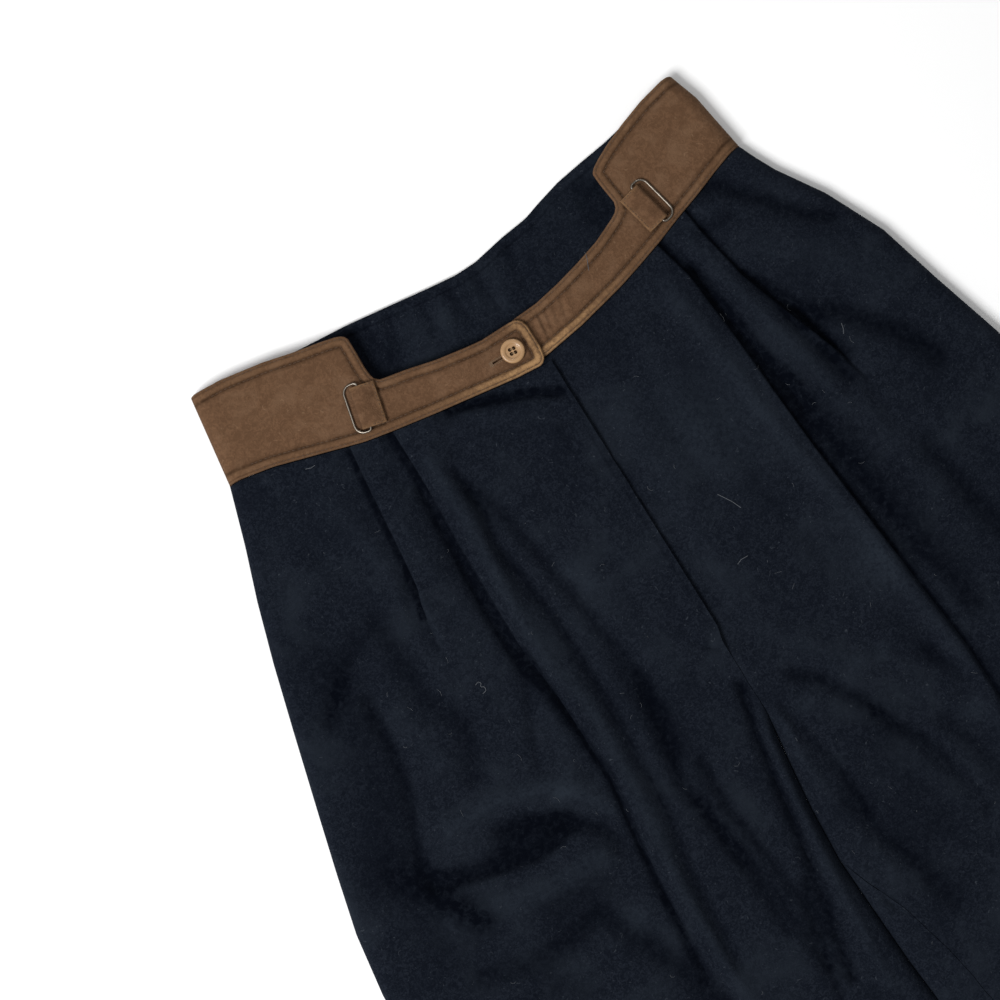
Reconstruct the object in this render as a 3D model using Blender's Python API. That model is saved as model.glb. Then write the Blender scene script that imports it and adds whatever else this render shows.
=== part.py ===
"""Wool trousers laid flat: pleated dark fronts, plain backs, brown waistband with tabs, rings and a button."""

import bpy
import bmesh
import math
import numpy as np

# Lengths are in millimetres until the meshes are made; x runs to the image right, y up the centre front
# from the crotch point, z up from the surface that the trousers lie on.
MM = 0.001

# Cloth and seams
NAVY_WALL = 1.2
BAND_WALL = 2.6
BACK_BAND_WALL = 2.0
FACING_WALL = 1.0
SEAM_GAP = 0.3
WAIST_SEAM_GAP = 0.5
FOLD_GAP = 0.35
SIDE_SEAM_HEIGHT = 3.3
BAND_SEAM_HEIGHT = 3.7

# Heights of the front above the surface, by y
FRONT_LOFT = ((255.0, 9.5), (150.0, 11.0), (0.0, 12.0), (-150.0, 11.5), (-450.0, 10.5), (-700.0, 9.5))
BAND_LEVEL = 11.2
BAND_LAP_STEP = 1.45
EDGE_ROUND = 9.0

# Length of the legs and the top row of the fronts
HEM_Y = -700.0
TOP_ROW_Y = 255.0
ROW_LEVEL_Y = 120.0

# Side seams, (y, x) from the hem to the top of the band
SIDE_IMAGE_LEFT = (
    (-700.0, -215.0), (-600.0, -235.0), (-450.0, -259.0), (-300.0, -279.0), (-180.0, -291.0),
    (-90.0, -295.0), (-23.4, -291.1), (16.6, -285.2), (54.3, -275.8), (89.5, -266.4), (141.3, -252.3),
    (183.6, -240.5), (221.2, -228.8), (254.2, -217.0), (290.7, -205.3), (349.2, -197.0),
)
SIDE_IMAGE_RIGHT = (
    (-700.0, 232.0), (-600.0, 244.0), (-450.0, 259.0), (-300.0, 273.0), (-200.0, 279.0), (-120.0, 281.0),
    (-60.0, 279.0), (0.0, 272.0), (60.0, 259.0), (122.9, 243.4), (170.0, 229.1), (211.7, 217.4),
    (249.1, 199.5), (278.2, 180.6), (291.6, 173.9), (302.3, 169.2), (340.8, 162.9), (360.7, 156.2),
)
# Inner edges of the legs, (y, x), of the leg at the image left; the other leg lies beside it to y = -176
INNER_IMAGE_LEFT = (
    (-700.0, -15.0), (-203.7, -4.9), (-176.3, -7.6), (-128.7, -9.5), (-101.3, -10.7), (-64.7, -8.5),
    (-33.6, -4.9), (-1.5, -0.3), (0.0, -0.15),
)
INNER_IMAGE_RIGHT = (
    (-700.0, 32.0), (-450.0, 20.0), (-300.0, 9.0), (-206.0, -1.5), (-176.3, -6.4), (-128.7, -8.4),
    (-101.3, -9.6), (-64.7, -7.4), (-33.6, -3.8), (-1.5, 0.3), (0.0, 0.15),
)
# How far the inseam of the leg at the image right has rolled on to the top, (y, distance)
INSEAM_ROLL = (
    (-700.0, 14.0), (-450.0, 24.0), (-220.0, 27.0), (-180.0, 23.0), (-145.0, 15.5), (-121.0, 6.0),
    (-101.0, 0.0), (0.0, 0.0),
)
# Lower edge of the front waistband, (x, y), where the fronts are sewn on
BAND_FOOT_IMAGE_LEFT = (
    (-205.3, 290.7), (-197.6, 290.4), (-175.7, 286.1), (-148.2, 277.9), (-120.8, 269.6), (-102.5, 266.0),
    (-75.0, 261.4), (-38.4, 255.9), (-20.1, 253.2), (-3.7, 251.9), (2.4, 252.2),
)
BAND_FOOT_IMAGE_RIGHT = (
    (-45.0, 257.5), (-20.1, 255.0), (2.4, 255.6), (29.5, 259.7), (46.5, 263.5), (63.4, 267.4), (80.5, 272.5),
    (97.5, 278.0), (114.5, 284.3), (131.5, 289.9), (148.5, 296.3), (162.1, 300.9), (169.2, 302.3),
)
# Upper edge of the narrow front part and of the tall side part, (x, y)
NARROW_TOP_IMAGE_LEFT = (
    (-205.0, 330.0), (-120.0, 309.0), (-96.2, 302.6), (-95.5, 299.7), (-93.8, 298.0), (-92.4, 297.0),
    (-89.7, 296.3), (-75.0, 293.4),
    (-56.7, 288.8), (-38.4, 285.7), (-27.5, 284.3), (-5.5, 284.6), (-1.9, 282.6), (0.9, 276.9),
)
NARROW_TOP_IMAGE_RIGHT = (
    (-42.0, 283.5), (-20.0, 282.5), (-1.8, 285.1), (12.6, 285.9), (29.5, 289.0), (46.4, 293.2),
    (63.4, 298.3), (79.1, 305.2), (82.5, 307.2), (84.6, 309.6), (85.6, 313.0), (120.0, 322.0), (166.3, 338.0),
)
TALL_TOP_IMAGE_LEFT = (
    (-197.0, 349.2), (-175.7, 348.3), (-148.2, 343.7), (-129.9, 339.2), (-111.6, 335.5), (-102.5, 333.3),
    (-99.0, 331.8), (-96.1, 328.2),
)
TALL_TOP_IMAGE_RIGHT = (
    (83.5, 333.7), (86.0, 336.9), (90.7, 340.0), (100.9, 345.1), (114.5, 350.5), (131.5, 356.4),
    (148.5, 360.4), (156.2, 360.7),
)
# Side of the step between the tall and the narrow part, (y, x)
STEP_IMAGE_LEFT = ((302.6, -96.2), (308.7, -96.6), (319.9, -96.1), (328.2, -96.1))
STEP_IMAGE_RIGHT = ((313.0, 85.6), (318.4, 84.9), (326.4, 83.9), (333.7, 83.5))
# Lower edge of the buttonhole end, (x, y)
END_FOOT = ((-20.1, 253.2), (-3.7, 251.9), (-0.9, 253.2), (0.9, 262.3))
# Back waist, (x, y): top edge and lower edge of the brown band
BACK_TOP = (
    (-197.0, 349.2), (-175.7, 347.0), (-148.2, 342.5), (-129.9, 339.6), (-93.3, 336.4), (-65.9, 332.8),
    (-38.4, 329.1), (-20.1, 327.0), (-5.5, 327.3), (16.5, 331.5), (34.8, 333.7), (46.4, 337.4),
    (63.4, 342.0), (80.5, 344.7), (100.9, 347.5), (131.5, 354.0), (156.2, 360.7),
)
BACK_BAND_FOOT = (
    (-205.3, 290.7), (-150.0, 286.5), (-60.0, 284.0), (0.0, 283.5), (60.0, 288.0), (120.0, 295.5), (169.2, 302.3),
)
FACING_INSET = 0.3
FACING_HEIGHT = 48.0

# Fold edges of the pleats and the leg creases that two of them run into, (y, x)
PLEAT_OUTER_IMAGE_LEFT = (
    (-700.0, -160.0), (0.0, -156.0), (100.0, -150.0), (167.0, -144.0), (176.6, -140.5), (195.2, -138.2),
    (251.9, -132.4), (272.7, -129.9),
)
PLEAT_INNER_IMAGE_LEFT = (
    (-700.0, -115.0), (-300.0, -112.0), (-25.6, -107.6), (16.6, -101.7), (75.4, -102.9), (110.7, -106.4),
    (167.1, -105.2), (228.3, -102.9), (264.7, -102.9),
)
PLEAT_INNER_IMAGE_RIGHT = (
    (-700.0, 132.0), (-300.0, 128.0), (-28.7, 124.4), (23.5, 119.3), (81.1, 114.1), (122.9, 110.2),
    (164.7, 107.4), (206.8, 104.9), (251.0, 101.0), (275.7, 94.6),
)
PLEAT_OUTER_IMAGE_RIGHT = (
    (-700.0, 180.0), (0.0, 178.0), (100.0, 170.0), (164.7, 153.1), (235.5, 128.1), (266.6, 122.0),
    (286.1, 119.3),
)
# Pleat depths and turns: cloth laid back under the fold by y, and the turn of the fold in degrees by y
OUTER_DEPTH = ((140.0, 1.0), (255.0, 11.5))
OUTER_TURN = ((130.0, 5.0), (190.0, 180.0), (255.0, 180.0))
INNER_DEPTH = ((90.0, 1.0), (255.0, 18.0))
INNER_TURN = ((-700.0, 45.0), (30.0, 62.0), (95.0, 180.0), (255.0, 180.0))

# The fly: edge of the front that laps over, the cloth that runs on under it
FLY_FOOT_Y = 50.0
FLY_LAP = 2.3
FLY_UNDERLAP = 28.0
FLY_STEP = 2.75

# Large folds of the fronts: points (x, y) along each, half width and height of the swell (below 0: a trough)
FOLDS = (
    (((-83.0, 204.0), (-82.0, 120.0), (-80.0, 40.0)), 8.0, -2.5),
    (((-68.9, 197.6), (-59.8, 158.0), (-52.5, 87.0), (-50.0, 16.5)), 10.0, -2.0),
    (((-91.0, 215.0), (-92.0, 75.0), (-92.0, 16.6), (-97.0, -25.6), (-103.0, -300.0), (-106.0, -660.0)), 9.0, 2.4),
    (((-228.8, 136.6), (-190.9, 169.6)), 8.0, -2.2),
    (((-201.9, 134.2), (-207.4, 94.6), (-223.9, 51.9), (-228.8, 16.5)), 9.0, -3.0),
    (((-172.6, 174.0), (-172.0, 111.0)), 7.0, -2.2),
    (((-223.9, 18.9), (-200.7, 2.4), (-162.9, 0.0), (-129.9, 9.8)), 9.0, -4.6),
    (((-212.0, 36.0), (-177.0, 28.4), (-142.0, 31.0)), 9.0, 4.4),
    (((-214.0, -16.0), (-175.0, -22.0), (-136.0, -13.0)), 10.0, 3.4),
    (((-140.0, -55.0), (-126.0, -105.0), (-112.0, -150.0)), 11.0, -2.4),
    (((-20.0, 240.0), (-20.0, 140.0)), 4.5, 1.1),
    (((-14.0, -14.0), (-17.5, -60.0), (-20.0, -130.0)), 5.5, 2.2),
    (((-10.0, 9.0), (-19.0, -24.4), (-27.0, -72.0), (-33.5, -128.7), (-41.5, -152.5)), 6.0, -2.8),
    (((-48.8, -7.9), (-52.5, -72.0), (-56.1, -115.9), (-54.3, -161.7)), 8.0, -2.4),
    (((-73.8, 259.3), (-36.0, 249.5), (-10.0, 235.0)), 4.5, -1.2),
    (((86.0, 248.0), (92.0, 206.8), (96.0, 122.9), (102.0, 50.0), (112.0, -28.7), (118.0, -300.0), (122.0, -660.0)),
     9.0, 3.2),
    (((112.0, 235.0), (117.0, 164.7), (123.0, 95.0)), 7.0, -2.4),
    (((169.0, 83.6), (181.8, 20.7)), 9.0, -2.6),
    (((169.0, 183.0), (213.5, 128.0)), 12.0, -2.4),
    (((148.2, 286.0), (163.5, 272.1), (188.0, 247.0)), 7.0, -1.8),
    (((34.2, 23.8), (48.8, -20.7), (72.0, -52.5)), 7.0, -3.0),
    (((9.0, -5.2), (19.9, -52.3)), 5.5, -2.8),
    (((120.0, 230.0), (141.0, 165.0)), 8.0, 1.4),
    (((-205.0, -190.0), (-150.0, -240.0)), 14.0, -2.2),
    (((-75.0, -330.0), (-50.0, -420.0)), 12.0, -2.0),
    (((-190.0, -470.0), (-150.0, -540.0)), 14.0, -2.0),
    (((205.0, -180.0), (165.0, -240.0)), 14.0, -2.2),
    (((75.0, -230.0), (95.0, -330.0)), 12.0, -2.0),
    (((190.0, -440.0), (160.0, -520.0)), 14.0, -2.0),
)

# Rows of the fronts and backs, by the y that each has where it is level
FRONT_ROWS = (
    255.0, 246.0, 234.0, 218.0, 200.0, 180.0, 160.0, 138.0, 114.0, 90.0, 62.0, 50.0, 38.0, 24.0, 12.0, 1.0,
    -9.0, -20.0, -42.0, -72.0, -102.0, -121.0, -145.0, -176.0, -215.0, -290.0, -390.0, -500.0, -600.0, -700.0,
)
BACK_ROWS = (
    255.0, 200.0, 130.0, 60.0, 24.0, 12.0, 1.0, -9.0, -20.0, -42.0, -72.0, -102.0, -121.0, -145.0, -176.0,
    -215.0, -290.0, -390.0, -500.0, -600.0, -700.0,
)
BACK_TOP_ROW_Y = 283.0

# Tabs and rings: centre of each on the band, tilt from the y axis, lengths
TAB_LENGTH = 26.5
TAB_REACH_IN = 10.6
TAB_WALL = 1.2
WIRE_RADIUS = 0.7
SLEEVE_CLEARANCE = 0.4
RING_LENGTH = 30.4
RING_WIDTH = 9.4
RING_CORNER = 2.0
RING_FAR_CORNER = 5.5
TAB_LOOP = 0.8
TAB_FALL_FROM = 1.0
HINGE_IMAGE_LEFT = (-109.6, 288.0)
HINGE_IMAGE_RIGHT = (101.9, 300.6)
TAB_TILT = 13.0
REST_CLEARANCE = 0.3

# Button
BUTTON_CENTRE = (-15.0, 268.5)
BUTTON_RADIUS = 7.5
BUTTON_HEIGHT = 2.8
BUTTON_RIM_HEIGHT = 0.9
BUTTON_RIM_WIDTH = 1.7
BUTTON_HOLE_RADIUS = 0.8
BUTTON_HOLE_OFFSET = 1.45
BUTTON_TURN = 38.5
SHANK_RADIUS = 0.5
SLOT_HEIGHT = 1.6
SLOT_LEFT = -29.3
SLOT_RIGHT = -13.4

# Colours
NAVY = (0.0103, 0.0137, 0.0194, 1.0)
BROWN = (0.117, 0.066, 0.038, 1.0)
BUTTON_TAN = (0.34, 0.25, 0.16, 1.0)
STEEL = (0.42, 0.41, 0.40, 1.0)


def soft_step(value):
    """Rise from 0 to 1 as the value goes from 0 to 1, level at both ends."""
    t = np.clip(value, 0.0, 1.0)
    return t * t * (3.0 - 2.0 * t)


def from_table(table, value):
    """Straight-line reading of a two-column table, first column rising."""
    columns = np.array(table)
    return np.interp(value, columns[:, 0], columns[:, 1])


def loft(y):
    """Height of the middle of the front cloth above the surface."""
    return from_table(tuple(reversed(FRONT_LOFT)), y)


def swell(x, y):
    """Sum of the large folds: each falls away as a bell with the distance from its line."""
    total = np.zeros(np.broadcast(x, y).shape)
    for points, half_width, height in FOLDS:
        nearest = np.full(total.shape, 1.0e9)
        for (ax, ay), (bx, by) in zip(points[:-1], points[1:]):
            length_squared = (bx - ax) ** 2 + (by - ay) ** 2
            along = np.clip(((x - ax) * (bx - ax) + (y - ay) * (by - ay)) / length_squared, 0.0, 1.0)
            away = (x - ax - along * (bx - ax)) ** 2 + (y - ay - along * (by - ay)) ** 2
            nearest = np.minimum(nearest, away)
        total = total + height * np.exp(-nearest / half_width ** 2)
    return total


def front_height(x, y):
    """Height of the front cloth's middle where it has no pleat under it; level near the waist seam."""
    return loft(y) + swell(x, y)


class Side:
    """Everything that differs between the two halves; m runs from the side seam towards the centre."""

    def __init__(self, sign, side, inner, roll, band_foot, outer_pleat, inner_pleat):
        self.sign = sign
        self.side = side
        self.inner = inner
        self.roll = roll
        self.band_foot = band_foot
        self.outer_pleat = outer_pleat
        self.inner_pleat = inner_pleat

    def at_y(self, table, y):
        """The m of a (y, x) table at y."""
        return self.sign * from_table(table, y)


NO_ROLL = ((-700.0, 0.0), (0.0, 0.0))
IMAGE_LEFT = Side(1.0, SIDE_IMAGE_LEFT, INNER_IMAGE_LEFT, NO_ROLL, BAND_FOOT_IMAGE_LEFT,
                  PLEAT_OUTER_IMAGE_LEFT, PLEAT_INNER_IMAGE_LEFT)
IMAGE_RIGHT = Side(-1.0, SIDE_IMAGE_RIGHT, INNER_IMAGE_RIGHT, INSEAM_ROLL, BAND_FOOT_IMAGE_RIGHT,
                   PLEAT_OUTER_IMAGE_RIGHT, PLEAT_INNER_IMAGE_RIGHT)


def row_y(half, level_y, m):
    """The y of a row at m: rows follow the waist seam at the top and grow level further down."""
    follow = soft_step((level_y - ROW_LEVEL_Y) / (TOP_ROW_Y - ROW_LEVEL_Y))
    seam = from_table(half.band_foot, half.sign * m) - WAIST_SEAM_GAP
    return level_y + follow * (seam - TOP_ROW_Y)


def settle(half, table, level_y):
    """The m at which a row crosses a (y, x) line, found by a few repeats."""
    m = half.at_y(table, level_y)
    for _ in range(6):
        m = half.at_y(table, row_y(half, level_y, m))
    return m


def crotch_share(y):
    """0 above the crotch, 1 where the leg's inner edge is fully rounded."""
    return soft_step((10.0 - y) / 30.0)


def pleat_turns(half, line, level_y, depth_table, turn_table):
    """One pleat's fold in every row: columns of m, lift and tangent through both turns, and its ends.

    Arc one turns the cloth back under, arc two turns it forward again; both have the same length of cloth.
    """
    turn = np.radians(from_table(turn_table, level_y))
    depth = from_table(depth_table, level_y)
    arc = 0.5 * (NAVY_WALL + FOLD_GAP) * math.pi
    radius = arc / turn
    edge = settle(half, line, level_y)
    folded = radius * (1.0 - np.sin(turn)) - 0.5 * depth * np.cos(turn)
    middle = edge + 0.5 * NAVY_WALL + np.where(turn > 0.5 * math.pi, folded, 0.0)
    half_rise = radius * (1.0 - np.cos(turn)) + 0.5 * depth * np.sin(turn)
    shares = np.array((0.0, 1.0 / 3.0, 2.0 / 3.0, 1.0))
    angle = shares[None, :] * turn[:, None]
    start_m = middle - 0.5 * depth * np.cos(turn) - radius * np.sin(turn)
    m_one = start_m[:, None] + radius[:, None] * np.sin(angle)
    lift_one = -half_rise[:, None] + radius[:, None] * (1.0 - np.cos(angle))
    m_two = 2.0 * middle[:, None] - m_one[:, ::-1]
    lift_two = -lift_one[:, ::-1]
    m = np.concatenate((m_one, m_two), axis=1)
    lift = np.concatenate((lift_one, lift_two), axis=1)
    along = np.concatenate((np.cos(angle), np.cos(angle[:, ::-1])), axis=1)
    up = np.concatenate((np.sin(angle), np.sin(angle[:, ::-1])), axis=1)
    reach = np.max(m_one, axis=1) + 0.5 * NAVY_WALL + 0.6
    reach = np.maximum(reach, m_two[:, -1] + 1.5)
    return {"edge": edge, "m": m, "lift": lift, "along": along, "up": up, "rise": half_rise, "reach": reach}


def spread(start, end, shares):
    """Columns at the given shares of the way from start to end, in every row."""
    return start[:, None] + (end - start)[:, None] * np.array(shares)[None, :]


def front_grid(half, level_rows, laps_over):
    """Middle surface and normals of one front, row by row from the waist seam to the hem.

    Across a row the cloth comes up round the side edge, goes level to the outer pleat, folds, goes on to the
    inner pleat, folds again and goes level to the fly or down round the inner edge of the leg.
    """
    level_y = np.array(level_rows)
    rows = level_y.size
    outer = pleat_turns(half, half.outer_pleat, level_y, OUTER_DEPTH, OUTER_TURN)
    inner = pleat_turns(half, half.inner_pleat, level_y, INNER_DEPTH, INNER_TURN)
    side = settle(half, half.side, level_y)
    share = crotch_share(level_y)
    fly = soft_step((level_y - FLY_FOOT_Y) / 12.0)
    above = -0.5 * SEAM_GAP + fly * (FLY_LAP if laps_over else FLY_UNDERLAP)
    inner_edge = np.where(level_y > 0.0, above, half.at_y(half.inner, np.minimum(level_y, 0.0)))

    # side edge: a quarter round from the seam up to the level part
    theta = np.radians(np.array((0.0, 22.5, 45.0, 67.5, 90.0)))
    side_m = side[:, None] + 0.5 * NAVY_WALL + EDGE_ROUND * (1.0 - np.cos(theta))[None, :]
    side_e = np.repeat(np.sin(theta)[None, :], rows, axis=0)

    flat_m = spread(side_m[:, -1], outer["edge"] - 14.0, (0.35, 0.7, 1.0))
    near_outer = outer["edge"][:, None] + np.array((-9.0, -4.0))[None, :]
    strip_m = spread(outer["reach"], inner["edge"] - 3.5, (0.0, 0.33, 0.67, 1.0))
    past_m = inner["reach"][:, None] + np.array((0.0, 4.0, 8.0))[None, :]

    # inner edge zone: from forty millimetres in to the seam, which may have rolled on to the top
    rolled = from_table(half.roll, level_y)
    roll_angle = np.arccos(np.clip(1.0 - rolled / EDGE_ROUND, 0.0, 1.0))
    seam_at = np.where(rolled < EDGE_ROUND, EDGE_ROUND * roll_angle / (0.5 * math.pi), rolled)
    seam_at = seam_at + np.where(rolled > 0.0, 0.5 * SEAM_GAP, 0.0)
    shares = np.array((1.0, 0.65, 0.4, 0.22, 0.13, 0.06, 0.0))
    p = seam_at[:, None] + (40.0 - seam_at)[:, None] * shares[None, :]
    edge_angle = np.clip(p / EDGE_ROUND, 0.0, 1.0) * 0.5 * math.pi
    set_in = EDGE_ROUND * (1.0 - np.cos(edge_angle)) + np.maximum(p - EDGE_ROUND, 0.0)
    edge_m = inner_edge[:, None] - 0.5 * NAVY_WALL * share[:, None] - set_in
    edge_e = 1.0 - share[:, None] * (1.0 - np.sin(edge_angle))
    centre_m = spread(past_m[:, -1], edge_m[:, 0], (0.33, 0.66))

    m = np.concatenate((side_m, flat_m, near_outer, outer["m"], strip_m, inner["m"], past_m, centre_m, edge_m), axis=1)

    def zeros(block):
        return np.zeros(block.shape)

    near_lift = -outer["rise"][:, None] * soft_step((near_outer - outer["edge"][:, None] + 14.0) / 12.0)
    strip_share = soft_step((strip_m - strip_m[:, :1]) / (strip_m[:, -1:] - strip_m[:, :1]))
    strip_lift = outer["rise"][:, None] * (1.0 - strip_share) - inner["rise"][:, None] * strip_share
    past_lift = inner["rise"][:, None] * np.array((1.0, 0.5, 0.0))[None, :]
    lift = np.concatenate((zeros(side_m), zeros(flat_m), near_lift, outer["lift"], strip_lift, inner["lift"],
                           past_lift, zeros(centre_m), zeros(edge_m)), axis=1)
    rise_share = np.concatenate((side_e, 1.0 + zeros(m[:, side_m.shape[1]:-edge_m.shape[1]]), edge_e), axis=1)

    y = np.array([row_y(half, level_y, m[:, k]) for k in range(m.shape[1])]).T
    x = half.sign * m
    height = front_height(x, y)
    if not laps_over:
        lower = soft_step((m + 24.0) / 12.0) * soft_step((level_y[:, None] - FLY_FOOT_Y + 12.0) / 12.0)
        height = height - (swell(x, y) + FLY_STEP) * lower
    start_z = SIDE_SEAM_HEIGHT + 0.5 * SEAM_GAP
    z = start_z + (height - start_z) * rise_share + lift

    # tangents across the row: from neighbours, but exact in the turns and upright at the rounded edges
    step_m = np.gradient(m, axis=1)
    step_z = np.gradient(z, axis=1)
    first_outer = side_m.shape[1] + flat_m.shape[1] + near_outer.shape[1]
    first_inner = first_outer + outer["m"].shape[1] + strip_m.shape[1]
    slope = (front_height(half.sign * (m + 0.5), y) - front_height(half.sign * (m - 0.5), y))
    for first, turns in ((first_outer, outer), (first_inner, inner)):
        last = first + turns["m"].shape[1]
        step_m[:, first:last] = turns["along"]
        step_z[:, first:last] = turns["up"] + slope[:, first:last] * turns["along"]
    step_m[:, 0] = 0.0
    step_z[:, 0] = 1.0
    zone = slice(m.shape[1] - edge_m.shape[1] + 1, m.shape[1])
    angle = edge_angle[:, 1:]
    step_m[:, zone] = EDGE_ROUND * (1.0 - share[:, None] * (1.0 - np.sin(angle)))
    step_z[:, zone] = -(height[:, zone] - start_z) * share[:, None] * np.cos(angle)
    step_z[:, zone] = step_z[:, zone] + slope[:, zone] * step_m[:, zone] * edge_e[:, 1:]
    length = np.sqrt(step_m ** 2 + step_z ** 2)
    normal = np.stack((-half.sign * step_z / length, np.zeros(m.shape), step_m / length), axis=2)
    return np.stack((x, y, z), axis=2), normal


def back_grid(half, level_rows):
    """Middle surface and normals of one back, flat on the surface and curled up to the seams at its edges."""
    level_y = np.array(level_rows)
    rows = level_y.size
    y_top = BACK_TOP_ROW_Y
    follow = soft_step((level_y - ROW_LEVEL_Y) / (TOP_ROW_Y - ROW_LEVEL_Y))

    def y_at(m):
        seam = from_table(BACK_BAND_FOOT, half.sign * m) - WAIST_SEAM_GAP
        return level_y + follow * (seam - TOP_ROW_Y)

    side = half.at_y(half.side, level_y)
    for _ in range(6):
        side = half.at_y(half.side, y_at(side))
    share = crotch_share(level_y)
    inner_edge = np.where(level_y > 0.0, -0.5 * SEAM_GAP, half.at_y(half.inner, np.minimum(level_y, 0.0)))
    floor_z = 0.5 * NAVY_WALL
    end_z = SIDE_SEAM_HEIGHT - 0.5 * SEAM_GAP
    curl = end_z - floor_z
    theta = np.radians(np.array((90.0, 60.0, 30.0, 0.0)))
    side_m = side[:, None] + 0.5 * NAVY_WALL + curl * (1.0 - np.sin(theta))[None, :]
    side_z = np.repeat((floor_z + curl * (1.0 - np.cos(theta)))[None, :], rows, axis=0)

    rolled = from_table(half.roll, level_y)
    roll_angle = np.arccos(np.clip(1.0 - rolled / EDGE_ROUND, 0.0, 1.0))
    seam_at = np.where(rolled < EDGE_ROUND, EDGE_ROUND * roll_angle / (0.5 * math.pi), rolled)
    seam_at = np.where(rolled > 0.0, seam_at - 0.5 * SEAM_GAP, 0.0)
    has_roll = np.max(rolled) > 0.0
    count = 13 if has_roll else 6
    reach = 12.0
    # q runs from the flat cloth (below 0) round the curl (0 to the curl's length) and on over the top
    curl_length = 0.5 * math.pi * curl
    q = -reach + (reach + curl_length + seam_at)[:, None] * np.linspace(0.0, 1.0, count)[None, :]
    curl_angle = np.clip(q / curl, 0.0, 0.5 * math.pi)
    p = np.maximum(q - curl_length, 0.0)
    over_angle = np.clip(p / EDGE_ROUND, 0.0, 1.0) * 0.5 * math.pi
    set_in = curl * (1.0 - np.sin(curl_angle)) + np.maximum(-q, 0.0)
    set_in = set_in + EDGE_ROUND * (1.0 - np.cos(over_angle)) + np.maximum(p - EDGE_ROUND, 0.0)
    edge_m = inner_edge[:, None] - 0.5 * NAVY_WALL * share[:, None] - set_in
    edge_y = np.array([y_at(edge_m[:, k]) for k in range(count)]).T
    top_height = front_height(half.sign * edge_m, edge_y)
    start_z = SIDE_SEAM_HEIGHT + 0.5 * SEAM_GAP
    over_z = start_z + (top_height - start_z) * np.sin(over_angle)
    curl_z = floor_z + share[:, None] * curl * (1.0 - np.cos(curl_angle))
    edge_z = np.where(p > 0.0, over_z, curl_z)

    flat_m = spread(side_m[:, -1], edge_m[:, 0], (0.07, 0.3, 0.55, 0.8))
    flat_z = np.full(flat_m.shape, floor_z)
    m = np.concatenate((side_m, flat_m, edge_m), axis=1)
    z = np.concatenate((side_z, flat_z, edge_z), axis=1)
    y = np.array([y_at(m[:, k]) for k in range(m.shape[1])]).T
    x = half.sign * m
    step_m = np.gradient(m, axis=1)
    step_z = np.gradient(z, axis=1)
    step_m[:, 0] = 0.0
    step_z[:, 0] = -1.0
    flat = slice(side_m.shape[1] - 1, side_m.shape[1] + flat_m.shape[1] + 1)
    step_m[:, flat] = 1.0
    step_z[:, flat] = 0.0
    slope = (front_height(half.sign * (edge_m + 0.5), edge_y) - front_height(half.sign * (edge_m - 0.5), edge_y))
    over_m = -EDGE_ROUND * np.sin(over_angle)
    over_up = (top_height - start_z) * np.cos(over_angle) + slope * over_m * np.sin(over_angle)
    zone = slice(m.shape[1] - count, m.shape[1])
    step_m[:, zone] = np.where(p > 0.0, over_m, 1.0 - share[:, None] * (1.0 - np.cos(curl_angle)))
    step_z[:, zone] = np.where(p > 0.0, over_up, share[:, None] * np.sin(curl_angle))
    length = np.sqrt(step_m ** 2 + step_z ** 2)
    normal = np.stack((-half.sign * step_z / length, np.zeros(m.shape), step_m / length), axis=2)
    return np.stack((x, y, z), axis=2), normal


def band_level(x, laps_over):
    """Height of a front band's middle: one end rises over the other where they lap."""
    if laps_over:
        return BAND_LEVEL + BAND_LAP_STEP * soft_step((x + 72.0) / 26.0)
    return BAND_LEVEL - BAND_LAP_STEP * soft_step((32.0 - x) / 24.0)


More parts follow.
